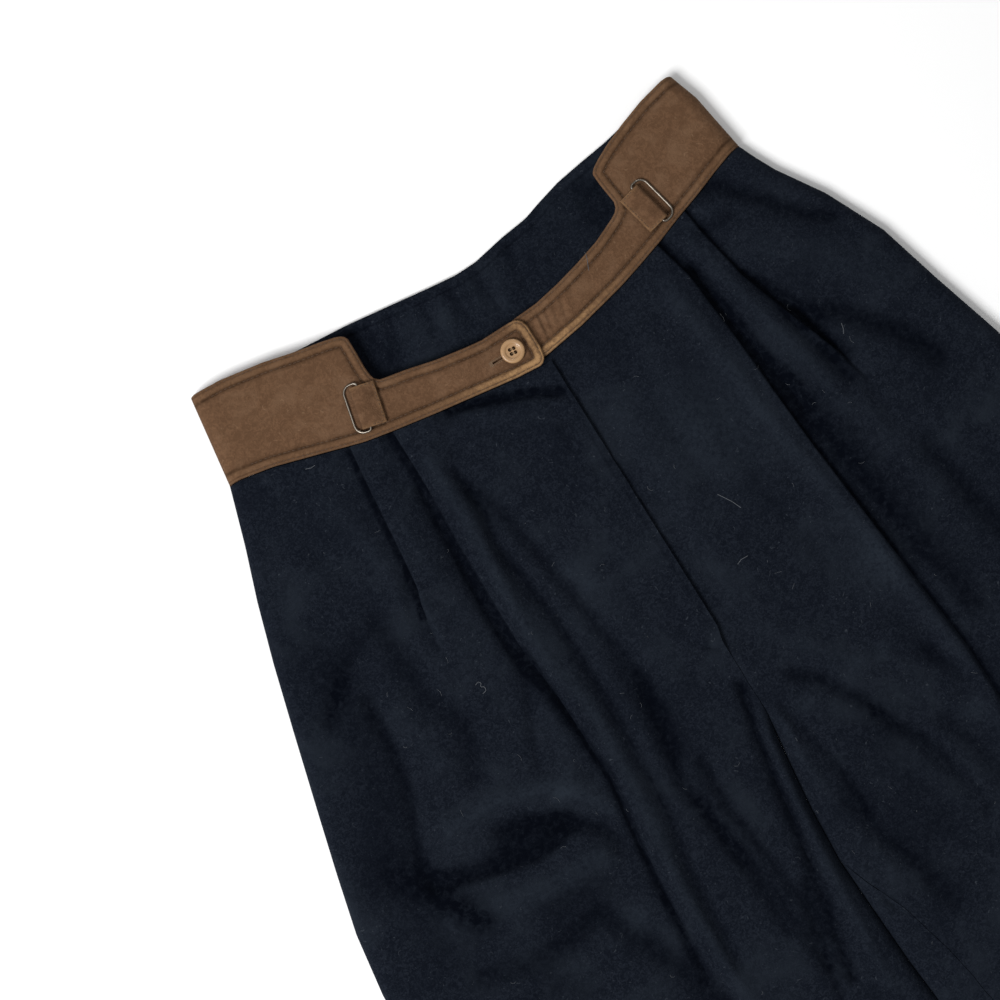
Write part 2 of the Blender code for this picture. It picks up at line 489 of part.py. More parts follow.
def band_grid(half, narrow_x, tall_x, narrow_top, tall_top, step_line, foot, laps_over):
    """Middle surface, normals and kept cells of one front band.

    Lower rows run from the side seam to the end of the narrow part; upper rows stop at the step.
    """
    theta = np.radians(np.array((0.0, 22.5, 45.0, 67.5, 90.0)))
    lower_shares = (0.0, 0.16, 0.34, 0.62, 0.66, 0.84, 1.0)
    if laps_over:
        lower_shares = (0.0, 0.22, 0.42, 0.5, 0.58, 0.78, 1.0)
    upper_shares = (0.4, 0.75, 1.0)
    flat_x = np.array(tall_x + narrow_x)
    side_count = theta.size
    tall_count = side_count + len(tall_x)
    columns = side_count + flat_x.size
    rows = len(lower_shares) + len(upper_shares)
    x = np.zeros((rows, columns))
    y = np.zeros((rows, columns))
    for k in range(columns):
        if k < side_count:
            inward = 0.5 * BAND_WALL + EDGE_ROUND * (1.0 - math.cos(theta[k]))
            guess = from_table(half.side, 320.0) + half.sign * inward
        else:
            inward = None
            guess = flat_x[k - side_count]
        low = float(from_table(foot, guess))
        if inward is not None:
            low = float(from_table(foot, from_table(half.side, low) + half.sign * inward))
        middle = float(from_table(narrow_top, guess))
        high = float(from_table(tall_top, guess)) if k < tall_count else middle
        for j in range(rows):
            if j < len(lower_shares):
                y[j, k] = low + (middle - low) * lower_shares[j]
            else:
                y[j, k] = middle + (high - middle) * upper_shares[j - len(lower_shares)]
            x[j, k] = guess
            if inward is not None:
                x[j, k] = from_table(half.side, y[j, k]) + half.sign * inward
        if k == tall_count - 1:
            for j in range(len(lower_shares) - 1, rows):
                x[j, k] = from_table(step_line, y[j, k])
    e = np.concatenate((np.sin(theta), np.ones(flat_x.size)))[None, :]
    start_z = BAND_SEAM_HEIGHT + 0.5 * SEAM_GAP
    z = start_z + (band_level(x, laps_over) - start_z) * e
    m = half.sign * x
    step_m = np.gradient(m, axis=1)
    step_z = np.gradient(z, axis=1)
    step_m[:, 0] = 0.0
    step_z[:, 0] = 1.0
    length = np.sqrt(step_m ** 2 + step_z ** 2)
    normal = np.stack((-half.sign * step_z / length, np.zeros(m.shape), step_m / length), axis=2)
    keep = np.ones((rows - 1, columns - 1), dtype=bool)
    keep[len(lower_shares) - 1:, tall_count - 1:] = False
    return np.stack((x, y, z), axis=2), normal, keep


def back_band_grid(foot_shares, wall, floor_z, curls, inset, height):
    """Middle surface and normals of the back band, or of the facing that lies on it inside the side curls."""
    inner_x = np.array((-185.0, -160.0, -130.0, -93.3, -65.9, -38.4, -20.1, -5.5, 16.5, 34.8, 46.4, 63.4, 80.5,
                        100.9, 125.0, 145.0))
    end_z = BAND_SEAM_HEIGHT - 0.5 * SEAM_GAP
    curl = end_z - floor_z
    theta = np.radians(np.array((90.0, 60.0, 30.0, 0.0)))
    rows = len(foot_shares)
    columns = []
    for k in range(theta.size if curls else 1):
        inward = 0.5 * wall + curl * (1.0 - math.sin(theta[k])) if curls else 7.5
        z = floor_z + curl * (1.0 - math.cos(theta[k])) if curls else floor_z
        columns.append((SIDE_IMAGE_LEFT, inward, z, 0.0))
    for value in inner_x:
        columns.append((None, value, floor_z, 0.0))
    for k in reversed(range(theta.size if curls else 1)):
        inward = 0.5 * wall + curl * (1.0 - math.sin(theta[k])) if curls else 7.5
        z = floor_z + curl * (1.0 - math.cos(theta[k])) if curls else floor_z
        columns.append((SIDE_IMAGE_RIGHT, -inward, z, 0.0))
    x = np.zeros((rows, len(columns)))
    y = np.zeros((rows, len(columns)))
    z = np.zeros((rows, len(columns)))
    for k, (side, value, level, _) in enumerate(columns):
        guess = value if side is None else float(from_table(side, 320.0)) + value
        top = float(from_table(BACK_TOP, guess)) - inset
        low = float(from_table(BACK_BAND_FOOT, guess)) if height is None else top - height
        for j, share in enumerate(foot_shares):
            y[j, k] = low + (top - low) * share
            x[j, k] = guess if side is None else float(from_table(side, y[j, k])) + value
            z[j, k] = level
    step_x = np.gradient(x, axis=1)
    step_z = np.gradient(z, axis=1)
    if curls:
        step_x[:, 0] = 0.0
        step_z[:, 0] = -1.0
        step_x[:, -1] = 0.0
        step_z[:, -1] = 1.0
        step_x[:, theta.size - 1] = 1.0
        step_z[:, theta.size - 1] = 0.0
        step_x[:, -theta.size] = 1.0
        step_z[:, -theta.size] = 0.0
    length = np.sqrt(step_x ** 2 + step_z ** 2)
    normal = np.stack((-step_z / length, np.zeros(x.shape), step_x / length), axis=2)
    return np.stack((x, y, z), axis=2), normal


def tab_grid(hinge, tilt, inward, surface_z):
    """Middle surface and normals of a tab: one layer on the band, round beyond the ring's bar, back on top."""
    sleeve = WIRE_RADIUS + SLEEVE_CLEARANCE + 0.5 * TAB_WALL
    base = surface_z + REST_CLEARANCE + 0.5 * TAB_WALL
    centre_z = base + sleeve
    section = []
    for share in (1.0, 0.75, 0.5, 0.25, 0.0):
        section.append((TAB_REACH_IN * share, base, -1.0, 0.0))
    for k in range(9):
        angle = math.pi * k / 8.0
        section.append((-TAB_LOOP - sleeve * math.sin(angle), centre_z - sleeve * math.cos(angle),
                        -math.cos(angle), math.sin(angle)))
    end_z = base + TAB_WALL + FOLD_GAP
    drop = centre_z + sleeve - end_z
    fall_length = TAB_REACH_IN - TAB_FALL_FROM
    for share in (0.0, 0.2, 0.4, 0.6, 0.8, 1.0):
        fall = float(soft_step(np.array(share)))
        slope = 6.0 * share * (1.0 - share) * drop / fall_length
        size = math.hypot(1.0, slope)
        section.append((TAB_FALL_FROM + fall_length * share, centre_z + sleeve - drop * fall, 1.0 / size,
                        -slope / size))
    lengths = np.linspace(-0.5 * TAB_LENGTH, 0.5 * TAB_LENGTH, 4)
    across = np.array(section)
    direction = np.array((math.sin(math.radians(tilt)), math.cos(math.radians(tilt))))
    side = np.array((direction[1], -direction[0])) * inward
    s = across[:, 0][None, :]
    points = np.zeros((lengths.size, across.shape[0], 3))
    points[:, :, 0] = hinge[0] + lengths[:, None] * direction[0] + s * side[0]
    points[:, :, 1] = hinge[1] + lengths[:, None] * direction[1] + s * side[1]
    points[:, :, 2] = across[:, 1][None, :]
    normals = np.zeros(points.shape)
    normals[:, :, 0] = -across[:, 3][None, :] * side[0]
    normals[:, :, 1] = -across[:, 3][None, :] * side[1]
    normals[:, :, 2] = across[:, 2][None, :]
    return points, normals, centre_z


def closed_sheet(points, normals, wall, keep=None):
    """Closed wall of even thickness about a middle surface; returns vertices and faces.

    Both skins are the middle surface moved half the wall along the normals; wherever a kept cell has no
    neighbour, a side face joins the two skins.
    """
    rows, columns = points.shape[:2]
    if keep is None:
        keep = np.ones((rows - 1, columns - 1), dtype=bool)
    upper = (points + normals * 0.5 * wall).reshape(-1, 3)
    lower = (points - normals * 0.5 * wall).reshape(-1, 3)
    count = rows * columns
    faces = []

    def at(j, k):
        return j * columns + k

    for j in range(rows - 1):
        for k in range(columns - 1):
            if not keep[j, k]:
                continue
            a, b, c, d = at(j, k), at(j, k + 1), at(j + 1, k + 1), at(j + 1, k)
            faces.append((a, b, c))
            faces.append((a, c, d))
            faces.append((c + count, b + count, a + count))
            faces.append((d + count, c + count, a + count))
            sides = (
                (j == 0 or not keep[j - 1, k], b, a),
                (j == rows - 2 or not keep[j + 1, k], d, c),
                (k == 0 or not keep[j, k - 1], a, d),
                (k == columns - 2 or not keep[j, k + 1], c, b),
            )
            for is_edge, p, q in sides:
                if is_edge:
                    faces.append((p, q, q + count))
                    faces.append((p, q + count, p + count))
    vertices = np.concatenate((upper, lower), axis=0)
    used = np.unique(np.array(faces).ravel())
    renumber = np.zeros(vertices.shape[0], dtype=int)
    renumber[used] = np.arange(used.size)
    return vertices[used], renumber[np.array(faces)]


def material(name, colour, roughness, metallic=0.0):
    """A Principled material of its own for a piece."""
    made = bpy.data.materials.new(name)
    made.use_nodes = True
    shader = made.node_tree.nodes["Principled BSDF"]
    shader.inputs["Base Color"].default_value = colour
    shader.inputs["Roughness"].default_value = roughness
    shader.inputs["Metallic"].default_value = metallic
    made.diffuse_color = colour
    return made


def add_mesh(name, vertices, faces, colour, roughness, metallic=0.0, origin=(0.0, 0.0, 0.0)):
    """One named object from vertices in millimetres, with faces turned outwards."""
    mesh = bpy.data.meshes.new(name)
    local = (np.array(vertices) - np.array(origin)) * MM
    mesh.from_pydata([tuple(v) for v in local.tolist()], [], [tuple(f) for f in np.array(faces).tolist()])
    build = bmesh.new()
    build.from_mesh(mesh)
    bmesh.ops.recalc_face_normals(build, faces=build.faces)
    if build.calc_volume(signed=True) < 0.0:
        bmesh.ops.reverse_faces(build, faces=build.faces)
    build.to_mesh(mesh)
    build.free()
    made = bpy.data.objects.new(name, mesh)
    made.location = tuple(np.array(origin) * MM)
    bpy.context.scene.collection.objects.link(made)
    made.data.materials.append(material(name, colour, roughness, metallic))
    return made


def ring_mesh(hinge, tilt, inward, hinge_z, surface_z):
    """Wire bent to a rounded rectangle, its hidden bar on the hinge and its other bar resting on the band."""
    drop = hinge_z - (surface_z + REST_CLEARANCE + WIRE_RADIUS)
    lie = math.asin(drop / RING_WIDTH)
    half_length = 0.5 * RING_LENGTH
    path = []
    corners = (
        (half_length - RING_CORNER, -RING_CORNER, 90.0, RING_CORNER),
        (half_length - RING_FAR_CORNER, -RING_WIDTH + RING_FAR_CORNER, 0.0, RING_FAR_CORNER),
        (-half_length + RING_FAR_CORNER, -RING_WIDTH + RING_FAR_CORNER, -90.0, RING_FAR_CORNER),
        (-half_length + RING_CORNER, -RING_CORNER, -180.0, RING_CORNER),
    )
    for centre_a, centre_b, start, corner in corners:
        for k in range(7):
            angle = math.radians(start - 90.0 * k / 6.0)
            path.append((centre_a + corner * math.cos(angle), centre_b + corner * math.sin(angle),
                         math.cos(angle), math.sin(angle)))
    direction = np.array((math.sin(math.radians(tilt)), math.cos(math.radians(tilt)), 0.0))
    side = np.array((direction[1], -direction[0], 0.0)) * inward
    slope = side * math.cos(lie) + np.array((0.0, 0.0, 1.0)) * math.sin(lie)
    upward = np.cross(direction, slope)
    upward = upward / np.linalg.norm(upward)
    centre = np.array((hinge[0], hinge[1], hinge_z))
    around = 10
    vertices = []
    for a, b, out_a, out_b in path:
        middle = centre + a * direction + b * slope
        outward = out_a * direction + out_b * slope
        for k in range(around):
            angle = 2.0 * math.pi * k / around
            vertices.append(middle + WIRE_RADIUS * (math.cos(angle) * outward + math.sin(angle) * upward))
    faces = []
    steps = len(path)
    for j in range(steps):
        for k in range(around):
            a = j * around + k
            b = j * around + (k + 1) % around
            c = ((j + 1) % steps) * around + (k + 1) % around
            d = ((j + 1) % steps) * around + k
            faces.append((a, b, c))
            faces.append((a, c, d))
    return np.array(vertices), faces


def cylinder_object(name, radius, low, high, x, y, sides):
    """A plain upright cylinder to cut a hole with."""
    build = bmesh.new()
    bmesh.ops.create_cone(build, cap_ends=True, segments=sides, radius1=radius * MM, radius2=radius * MM,
                          depth=(high - low) * MM)
    bmesh.ops.translate(build, verts=build.verts, vec=(x * MM, y * MM, 0.5 * (low + high) * MM))
    mesh = bpy.data.meshes.new(name)
    build.to_mesh(mesh)
    build.free()
    made = bpy.data.objects.new(name, mesh)
    bpy.context.scene.collection.objects.link(made)
    return made


def button_object(surface_z, under_z, shift):
    """Button turned from a profile, four holes through it, and its thread shank through the buttonhole."""
    low = surface_z + REST_CLEARANCE
    shank_low = under_z + REST_CLEARANCE
    top = low + BUTTON_HEIGHT
    well = top - BUTTON_RIM_HEIGHT
    profile = (
        (0.0, shank_low), (SHANK_RADIUS, shank_low), (SHANK_RADIUS, low), (BUTTON_RADIUS - 1.0, low),
        (BUTTON_RADIUS, low + 0.8), (BUTTON_RADIUS, top - 0.6), (BUTTON_RADIUS - 0.5, top),
        (BUTTON_RADIUS - BUTTON_RIM_WIDTH, top), (BUTTON_RADIUS - BUTTON_RIM_WIDTH - 0.8, well), (0.0, well),
    )
    sides = 28
    x = BUTTON_CENTRE[0] + shift[0]
    y = BUTTON_CENTRE[1] + shift[1]
    vertices = [(x, y, profile[0][1])]
    for radius, z in profile[1:-1]:
        for k in range(sides):
            angle = 2.0 * math.pi * k / sides
            vertices.append((x + radius * math.cos(angle), y + radius * math.sin(angle), z))
    vertices.append((x, y, profile[-1][1]))
    last = len(vertices) - 1
    rings = len(profile) - 2
    faces = []
    for k in range(sides):
        following = (k + 1) % sides
        faces.append((0, 1 + following, 1 + k))
        for j in range(rings - 1):
            a = 1 + j * sides + k
            b = 1 + j * sides + following
            faces.append((a, b, b + sides))
            faces.append((a, b + sides, a + sides))
        faces.append((last, 1 + (rings - 1) * sides + k, 1 + (rings - 1) * sides + following))
    made = add_mesh("button", vertices, faces, BUTTON_TAN, 0.45)
    for k in range(4):
        angle = math.radians(BUTTON_TURN + 90.0 * k)
        cutter = cylinder_object("hole_cutter_%d" % k, BUTTON_HOLE_RADIUS, low - 1.0, top + 1.0,
                                 x + BUTTON_HOLE_OFFSET * math.sqrt(2.0) * math.cos(angle),
                                 y + BUTTON_HOLE_OFFSET * math.sqrt(2.0) * math.sin(angle), 12)
        cut = made.modifiers.new("hole_%d" % k, "BOOLEAN")
        cut.operation = "DIFFERENCE"
        cut.solver = "EXACT"
        cut.object = cutter
        cutter.hide_render = True
        cutter.display_type = "WIRE"
        cutter.hide_set(True)
    return made


def main():
    """Build every piece in one frame, its origin in the middle of the outline on the surface."""
    for item in list(bpy.data.objects):
        bpy.data.objects.remove(item, do_unlink=True)

    pieces = {}
    points, normals = front_grid(IMAGE_LEFT, FRONT_ROWS, True)
    pieces["front_right"] = (points, normals, NAVY_WALL, None, NAVY)
    points, normals = front_grid(IMAGE_RIGHT, FRONT_ROWS, False)
    pieces["front_left"] = (points, normals, NAVY_WALL, None, NAVY)
    points, normals = back_grid(IMAGE_LEFT, BACK_ROWS)
    pieces["back_right"] = (points, normals, NAVY_WALL, None, NAVY)
    points, normals = back_grid(IMAGE_RIGHT, BACK_ROWS)
    pieces["back_left"] = (points, normals, NAVY_WALL, None, NAVY)

    narrow_left = (-94.3, -92.4, -89.7, -75.0, -66.0, -56.7, -46.0, -38.4, SLOT_LEFT, -20.1, SLOT_RIGHT, -5.5, -1.9, 0.9)
    tall_left = (-175.7, -148.2, -129.9, -111.6, -102.5, -99.0, -96.1)
    foot_left = BAND_FOOT_IMAGE_LEFT[:-2] + END_FOOT[1:]
    points, normals, keep = band_grid(IMAGE_LEFT, narrow_left, tall_left, NARROW_TOP_IMAGE_LEFT,
                                      TALL_TOP_IMAGE_LEFT, STEP_IMAGE_LEFT, foot_left, True)
    slot_row = 3
    slot_first = 5 + len(tall_left) + narrow_left.index(SLOT_LEFT)
    slot_last = 5 + len(tall_left) + narrow_left.index(SLOT_RIGHT)
    for k in range(slot_first, slot_last + 1):
        points[slot_row, k, 1] = BUTTON_CENTRE[1] - 0.5 * SLOT_HEIGHT
        points[slot_row + 1, k, 1] = BUTTON_CENTRE[1] + 0.5 * SLOT_HEIGHT
    keep[slot_row, slot_first:slot_last] = False
    pieces["band_right"] = (points, normals, BAND_WALL, keep, BROWN)

    narrow_right = (84.6, 82.5, 79.1, 63.4, 46.4, 29.5, 20.0, 12.6, 6.0, -1.8, -20.0, -42.0)
    tall_right = (148.5, 131.5, 114.5, 100.9, 90.7, 87.5, 85.6)
    points, normals, keep = band_grid(IMAGE_RIGHT, narrow_right, tall_right, NARROW_TOP_IMAGE_RIGHT,
                                      TALL_TOP_IMAGE_RIGHT, STEP_IMAGE_RIGHT, BAND_FOOT_IMAGE_RIGHT, False)
    pieces["band_left"] = (points, normals, BAND_WALL, keep, BROWN)

    points, normals = back_band_grid((0.0, 0.33, 0.66, 1.0), BACK_BAND_WALL, 0.5 * BACK_BAND_WALL, True, 0.0, None)
    pieces["band_back"] = (points, normals, BACK_BAND_WALL, None, BROWN)
    facing_z = BACK_BAND_WALL + SEAM_GAP + 0.5 * FACING_WALL
    points, normals = back_band_grid((0.0, 0.5, 1.0), FACING_WALL, facing_z, False, FACING_INSET, FACING_HEIGHT)
    pieces["facing_back"] = (points, normals, FACING_WALL, None, NAVY)

    band_top = BAND_LEVEL + 0.5 * BAND_WALL
    hinges = {"right": (HINGE_IMAGE_LEFT, TAB_TILT, 1.0), "left": (HINGE_IMAGE_RIGHT, -TAB_TILT, -1.0)}
    hinge_z = 0.0
    for side, (hinge, tilt, inward) in hinges.items():
        points, normals, hinge_z = tab_grid(hinge, tilt, inward, band_top)
        pieces["tab_" + side] = (points, normals, TAB_WALL, None, BROWN)

    solids = {}
    for name, (points, normals, wall, keep, colour) in pieces.items():
        solids[name] = closed_sheet(points, normals, wall, keep)
    everything = np.concatenate([vertices for vertices, _ in solids.values()], axis=0)
    centre = 0.5 * (everything.min(axis=0) + everything.max(axis=0))
    shift = np.array((-centre[0], -centre[1], 0.0))
    print("frame shift in mm", shift.tolist(), "lowest", everything[:, 2].min(), "highest", everything[:, 2].max())
    for name, (vertices, faces) in solids.items():
        add_mesh(name, vertices + shift, faces, pieces[name][4], 0.95)
    for side, (hinge, tilt, inward) in hinges.items():
        vertices, faces = ring_mesh(hinge, tilt, inward, hinge_z, band_top)
        origin = np.array((hinge[0], hinge[1], hinge_z)) + shift
        print("hinge", side, (origin * MM).tolist())
        add_mesh("ring_" + side, vertices + shift, faces, STEEL, 0.35, 0.9, origin)
    lap_top = BAND_LEVEL + BAND_LAP_STEP + 0.5 * BAND_WALL
    under_top = BAND_LEVEL - BAND_LAP_STEP + 0.5 * BAND_WALL
    button_object(lap_top, under_top, shift)
    bpy.context.view_layer.update()
    graph = bpy.context.evaluated_depsgraph_get()
    total = 0
    for item in bpy.data.objects:
        if item.hide_render:
            continue
        mesh = item.evaluated_get(graph).data
        mesh.calc_loop_triangles()
        total += len(mesh.loop_triangles)
        print(item.name, len(mesh.loop_triangles))
    print("triangles", total)


main()
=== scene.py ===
"""Wool trousers laid flat: dark pleated cloth, felted brown waistband, tabs, rings, button and sewing."""

import math

import bmesh
import bpy
import numpy as np
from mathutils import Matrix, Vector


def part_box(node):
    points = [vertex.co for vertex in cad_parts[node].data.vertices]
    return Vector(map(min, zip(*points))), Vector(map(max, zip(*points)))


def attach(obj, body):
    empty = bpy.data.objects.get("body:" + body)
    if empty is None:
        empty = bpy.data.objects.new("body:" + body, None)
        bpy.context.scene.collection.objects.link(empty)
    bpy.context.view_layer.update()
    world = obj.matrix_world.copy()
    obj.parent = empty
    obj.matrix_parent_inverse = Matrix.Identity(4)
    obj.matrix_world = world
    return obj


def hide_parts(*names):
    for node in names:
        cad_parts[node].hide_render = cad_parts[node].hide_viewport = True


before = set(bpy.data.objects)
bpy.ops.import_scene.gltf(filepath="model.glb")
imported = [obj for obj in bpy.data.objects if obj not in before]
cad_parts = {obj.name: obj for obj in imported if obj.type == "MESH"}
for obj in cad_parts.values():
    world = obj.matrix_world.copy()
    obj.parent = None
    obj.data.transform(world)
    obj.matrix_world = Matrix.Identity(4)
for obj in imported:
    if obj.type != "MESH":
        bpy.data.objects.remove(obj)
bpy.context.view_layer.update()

bl_info = {
    "name": "Wool trousers laid flat",
    "version": (1, 0, 0),
    "blender": (4, 5, 0),
    "location": "3D View > Sidebar > Trousers",
    "description": "Builds pleated wool trousers with a felted waistband as they lie on a table",
    "category": "Add Mesh",
}

# Lengths in the tables are millimetres from the crotch point: x to the image right, y up the centre front,
# z up from the table. BUTTON_CENTRE ties them to the frame, where the solid button stands.
MM = 0.001
GARMENT = "garment"

SEAM_GAP = 0.3
WAIST_SEAM_GAP = 0.5
FOLD_GAP = 0.35
NAVY_WALL = 1.2
BAND_WALL = 2.6
BACK_BAND_WALL = 2.0
FACING_WALL = 1.0
TAB_WALL = 1.2
SIDE_SEAM_HEIGHT = 3.3
BAND_SEAM_HEIGHT = 3.7
BAND_LEVEL = 11.2
BAND_LAP_STEP = 1.45
EDGE_ROUND = 9.0
HEM_Y = -700.0
TOP_ROW_Y = 255.0
ROW_LEVEL_Y = 120.0
FLY_FOOT_Y = 50.0
FLY_LAP = 2.3
FLY_UNDERLAP = 28.0
FLY_STEP = 2.75
FACING_INSET = 0.0
BACK_BAND_INSET = 0.6
FACING_HEIGHT = 48.0
# Cloth with close columns before the outer and the inner pleat's edge, under that edge, and at the leg's edge
NEAR_REACH = 14.0
UNDER_REACH = 3.5
UNDER_EDGE = 1.2
LEG_EDGE_REACH = 40.0
# Flat cloth of the back that the columns of its rolled edge begin with
BACK_EDGE_START = -12.0

# Height of the middle of the front cloth, (y, z)
FRONT_LOFT = ((-700, 9.5), (-450, 10.5), (-150, 11.5), (0, 12), (150, 11), (255, 9.5))

# Side seams and inner leg edges, (y, x)
SIDE_IMAGE_LEFT = (
    (-700, -215), (-600, -235), (-450, -259), (-300, -279), (-180, -291),
    (-90, -295), (-23.4, -291.1), (16.6, -285.2), (54.3, -275.8), (89.5, -266.4), (141.3, -252.3),
    (183.6, -240.5), (221.2, -228.8), (254.2, -217), (290.7, -205.3), (349.2, -197),
)
SIDE_IMAGE_RIGHT = (
    (-700, 232), (-600, 244), (-450, 259), (-300, 273), (-200, 279), (-120, 281),
    (-60, 279), (0, 272), (60, 259), (122.9, 243.4), (170, 229.1), (211.7, 217.4),
    (249.1, 199.5), (278.2, 180.6), (291.6, 173.9), (302.3, 169.2), (340.8, 162.9), (360.7, 156.2),
)
INNER_IMAGE_LEFT = (
    (-700, -15), (-300, -6), (-215, -4.6), (-203.7, -4.5), (-176.3, -6.9), (-128.7, -9.1),
    (-101.3, -10.3), (-64.7, -8.1), (-33.6, -4.5), (-1.5, -0.2), (0, -0.15),
)
INNER_IMAGE_RIGHT = (
    (-700, 32), (-450, 20), (-300, 6), (-215, -4.54), (-203.7, -4.44), (-176.3, -6.84),
    (-128.7, -9.04), (-101.3, -10.24), (-64.7, -8.04), (-33.6, -4.44), (-1.5, 0.2), (0, 0.15),
)
# How far the inseam at the image right has rolled on to the top, (y, distance)
INSEAM_ROLL = (
    (-700, 14), (-450, 24), (-220, 27), (-180, 23), (-145, 15.5), (-121, 6),
    (-101, 0), (0, 0),
)
NO_ROLL = ((-700, 0), (0, 0))
# Edges of the waistband, (x, y) along it and (y, x) down its steps
BAND_FOOT_IMAGE_LEFT = (
    (-205.3, 290.7), (-197.6, 290.4), (-175.7, 286.1), (-148.2, 277.9), (-120.8, 269.6), (-102.5, 266),
    (-75, 261.4), (-38.4, 255.9), (-20.1, 253.2), (-3.7, 251.9), (2.4, 252.2),
)
END_FOOT_IMAGE_LEFT = (
    (-205.3, 290.7), (-197.6, 290.4), (-175.7, 286.1), (-148.2, 277.9), (-120.8, 269.6), (-102.5, 266),
    (-75, 261.4), (-38.4, 255.9), (-20.1, 253.2), (-5.5, 252), (-3, 252.6), (-1.2, 254.2), (0.1, 257),
    (0.9, 262.3),
)
BAND_FOOT_IMAGE_RIGHT = (
    (-45, 257.5), (-20.1, 255), (2.4, 255.6), (29.5, 259.7), (46.5, 263.5), (63.4, 267.4), (80.5, 272.5),
    (97.5, 278), (114.5, 284.3), (131.5, 289.9), (148.5, 296.3), (162.1, 300.9), (169.2, 302.3),
)
NARROW_TOP_IMAGE_LEFT = (
    (-205, 330), (-120, 309), (-96.2, 302.6), (-95.5, 299.7), (-93.8, 298), (-92.4, 297),
    (-89.7, 296.3), (-75, 293.4), (-56.7, 288.8), (-38.4, 285.7), (-27.5, 284.3), (-8, 284.5), (-4.5, 284.2),
    (-2.2, 283), (-0.4, 281), (0.9, 276.9),
)
NARROW_TOP_IMAGE_RIGHT = (
    (-42, 283.5), (-20, 282.5), (-1.8, 285.1), (12.6, 285.9), (29.5, 289), (46.4, 293.2),
    (63.4, 298.3), (79.1, 305.2), (82.5, 307.2), (84.6, 309.6), (85.6, 313), (120, 322), (166.3, 338),
)
TALL_TOP_IMAGE_LEFT = (
    (-197.8, 347.6), (-197.2, 348.6), (-196.2, 349.2), (-194, 349.4), (-175.7, 348.3), (-148.2, 343.7),
    (-129.9, 339.2), (-111.6, 335.5), (-102.5, 333.3), (-99, 331.8), (-97.3, 330.4), (-96.1, 328.2),
)
TALL_TOP_IMAGE_RIGHT = (
    (83.5, 333.7), (84.4, 335.4), (86, 337), (90.7, 340), (100.9, 345.1), (114.5, 350.5), (131.5, 356.4),
    (148.5, 360.4), (153.5, 360.9), (155.6, 360.6), (156.9, 359.7), (157.6, 358.4),
)
STEP_IMAGE_LEFT = ((302.6, -96.2), (308.7, -96.6), (319.9, -96.1), (328.2, -96.1))
STEP_IMAGE_RIGHT = ((313, 85.6), (318.4, 84.9), (326.4, 83.9), (333.7, 83.5))
BACK_TOP = (
    (-198.2, 343), (-197, 346.6), (-194, 347.6), (-175.7, 346.4), (-148.2, 342.5), (-129.9, 339.6),
    (-93.3, 336.4), (-65.9, 332.8), (-38.4, 329.1), (-20.1, 327), (-5.5, 327.3), (16.5, 331.5),
    (34.8, 333.7), (46.4, 337.4),
    (63.4, 342), (80.5, 344.7), (100.9, 347.5), (131.5, 354), (150, 358.3), (154.6, 357.6), (157.6, 353),
)
BACK_BAND_FOOT = (
    (-205.3, 290.7), (-150, 286.5), (-60, 284), (0, 283.5), (60, 288), (120, 295.5), (169.2, 302.3),
)
# Fold edges of the pleats and the creases they run into, (y, x)
PLEAT_OUTER_IMAGE_LEFT = (
    (-700, -160), (0, -156), (100, -150), (167, -144), (176.6, -140.5), (195.2, -138.2),
    (251.9, -132.4), (272.7, -129.9),
)
PLEAT_INNER_IMAGE_LEFT = (
    (-700, -115), (-300, -112), (-25.6, -107.6), (16.6, -101.7), (75.4, -102.9), (110.7, -106.4),
    (167.1, -105.2), (228.3, -102.9), (264.7, -102.9),
)
PLEAT_INNER_IMAGE_RIGHT = (
    (-700, 132), (-300, 128), (-28.7, 124.4), (23.5, 119.3), (81.1, 114.1), (122.9, 110.2),
    (164.7, 107.4), (206.8, 104.9), (251, 101), (275.7, 94.6),
)
PLEAT_OUTER_IMAGE_RIGHT = (
    (-700, 180), (0, 178), (100, 170), (164.7, 153.1), (235.5, 128.1), (266.6, 122),
    (286.1, 119.3),
)
# Cloth laid back under each fold, and the turn of the fold in degrees, by y
OUTER_DEPTH = ((140, 1), (255, 11.5))
OUTER_TURN = ((130, 5), (190, 180), (255, 180))
INNER_DEPTH = ((90, 1), (255, 18))
INNER_TURN = ((-700, 45), (30, 62), (95, 180), (255, 180))

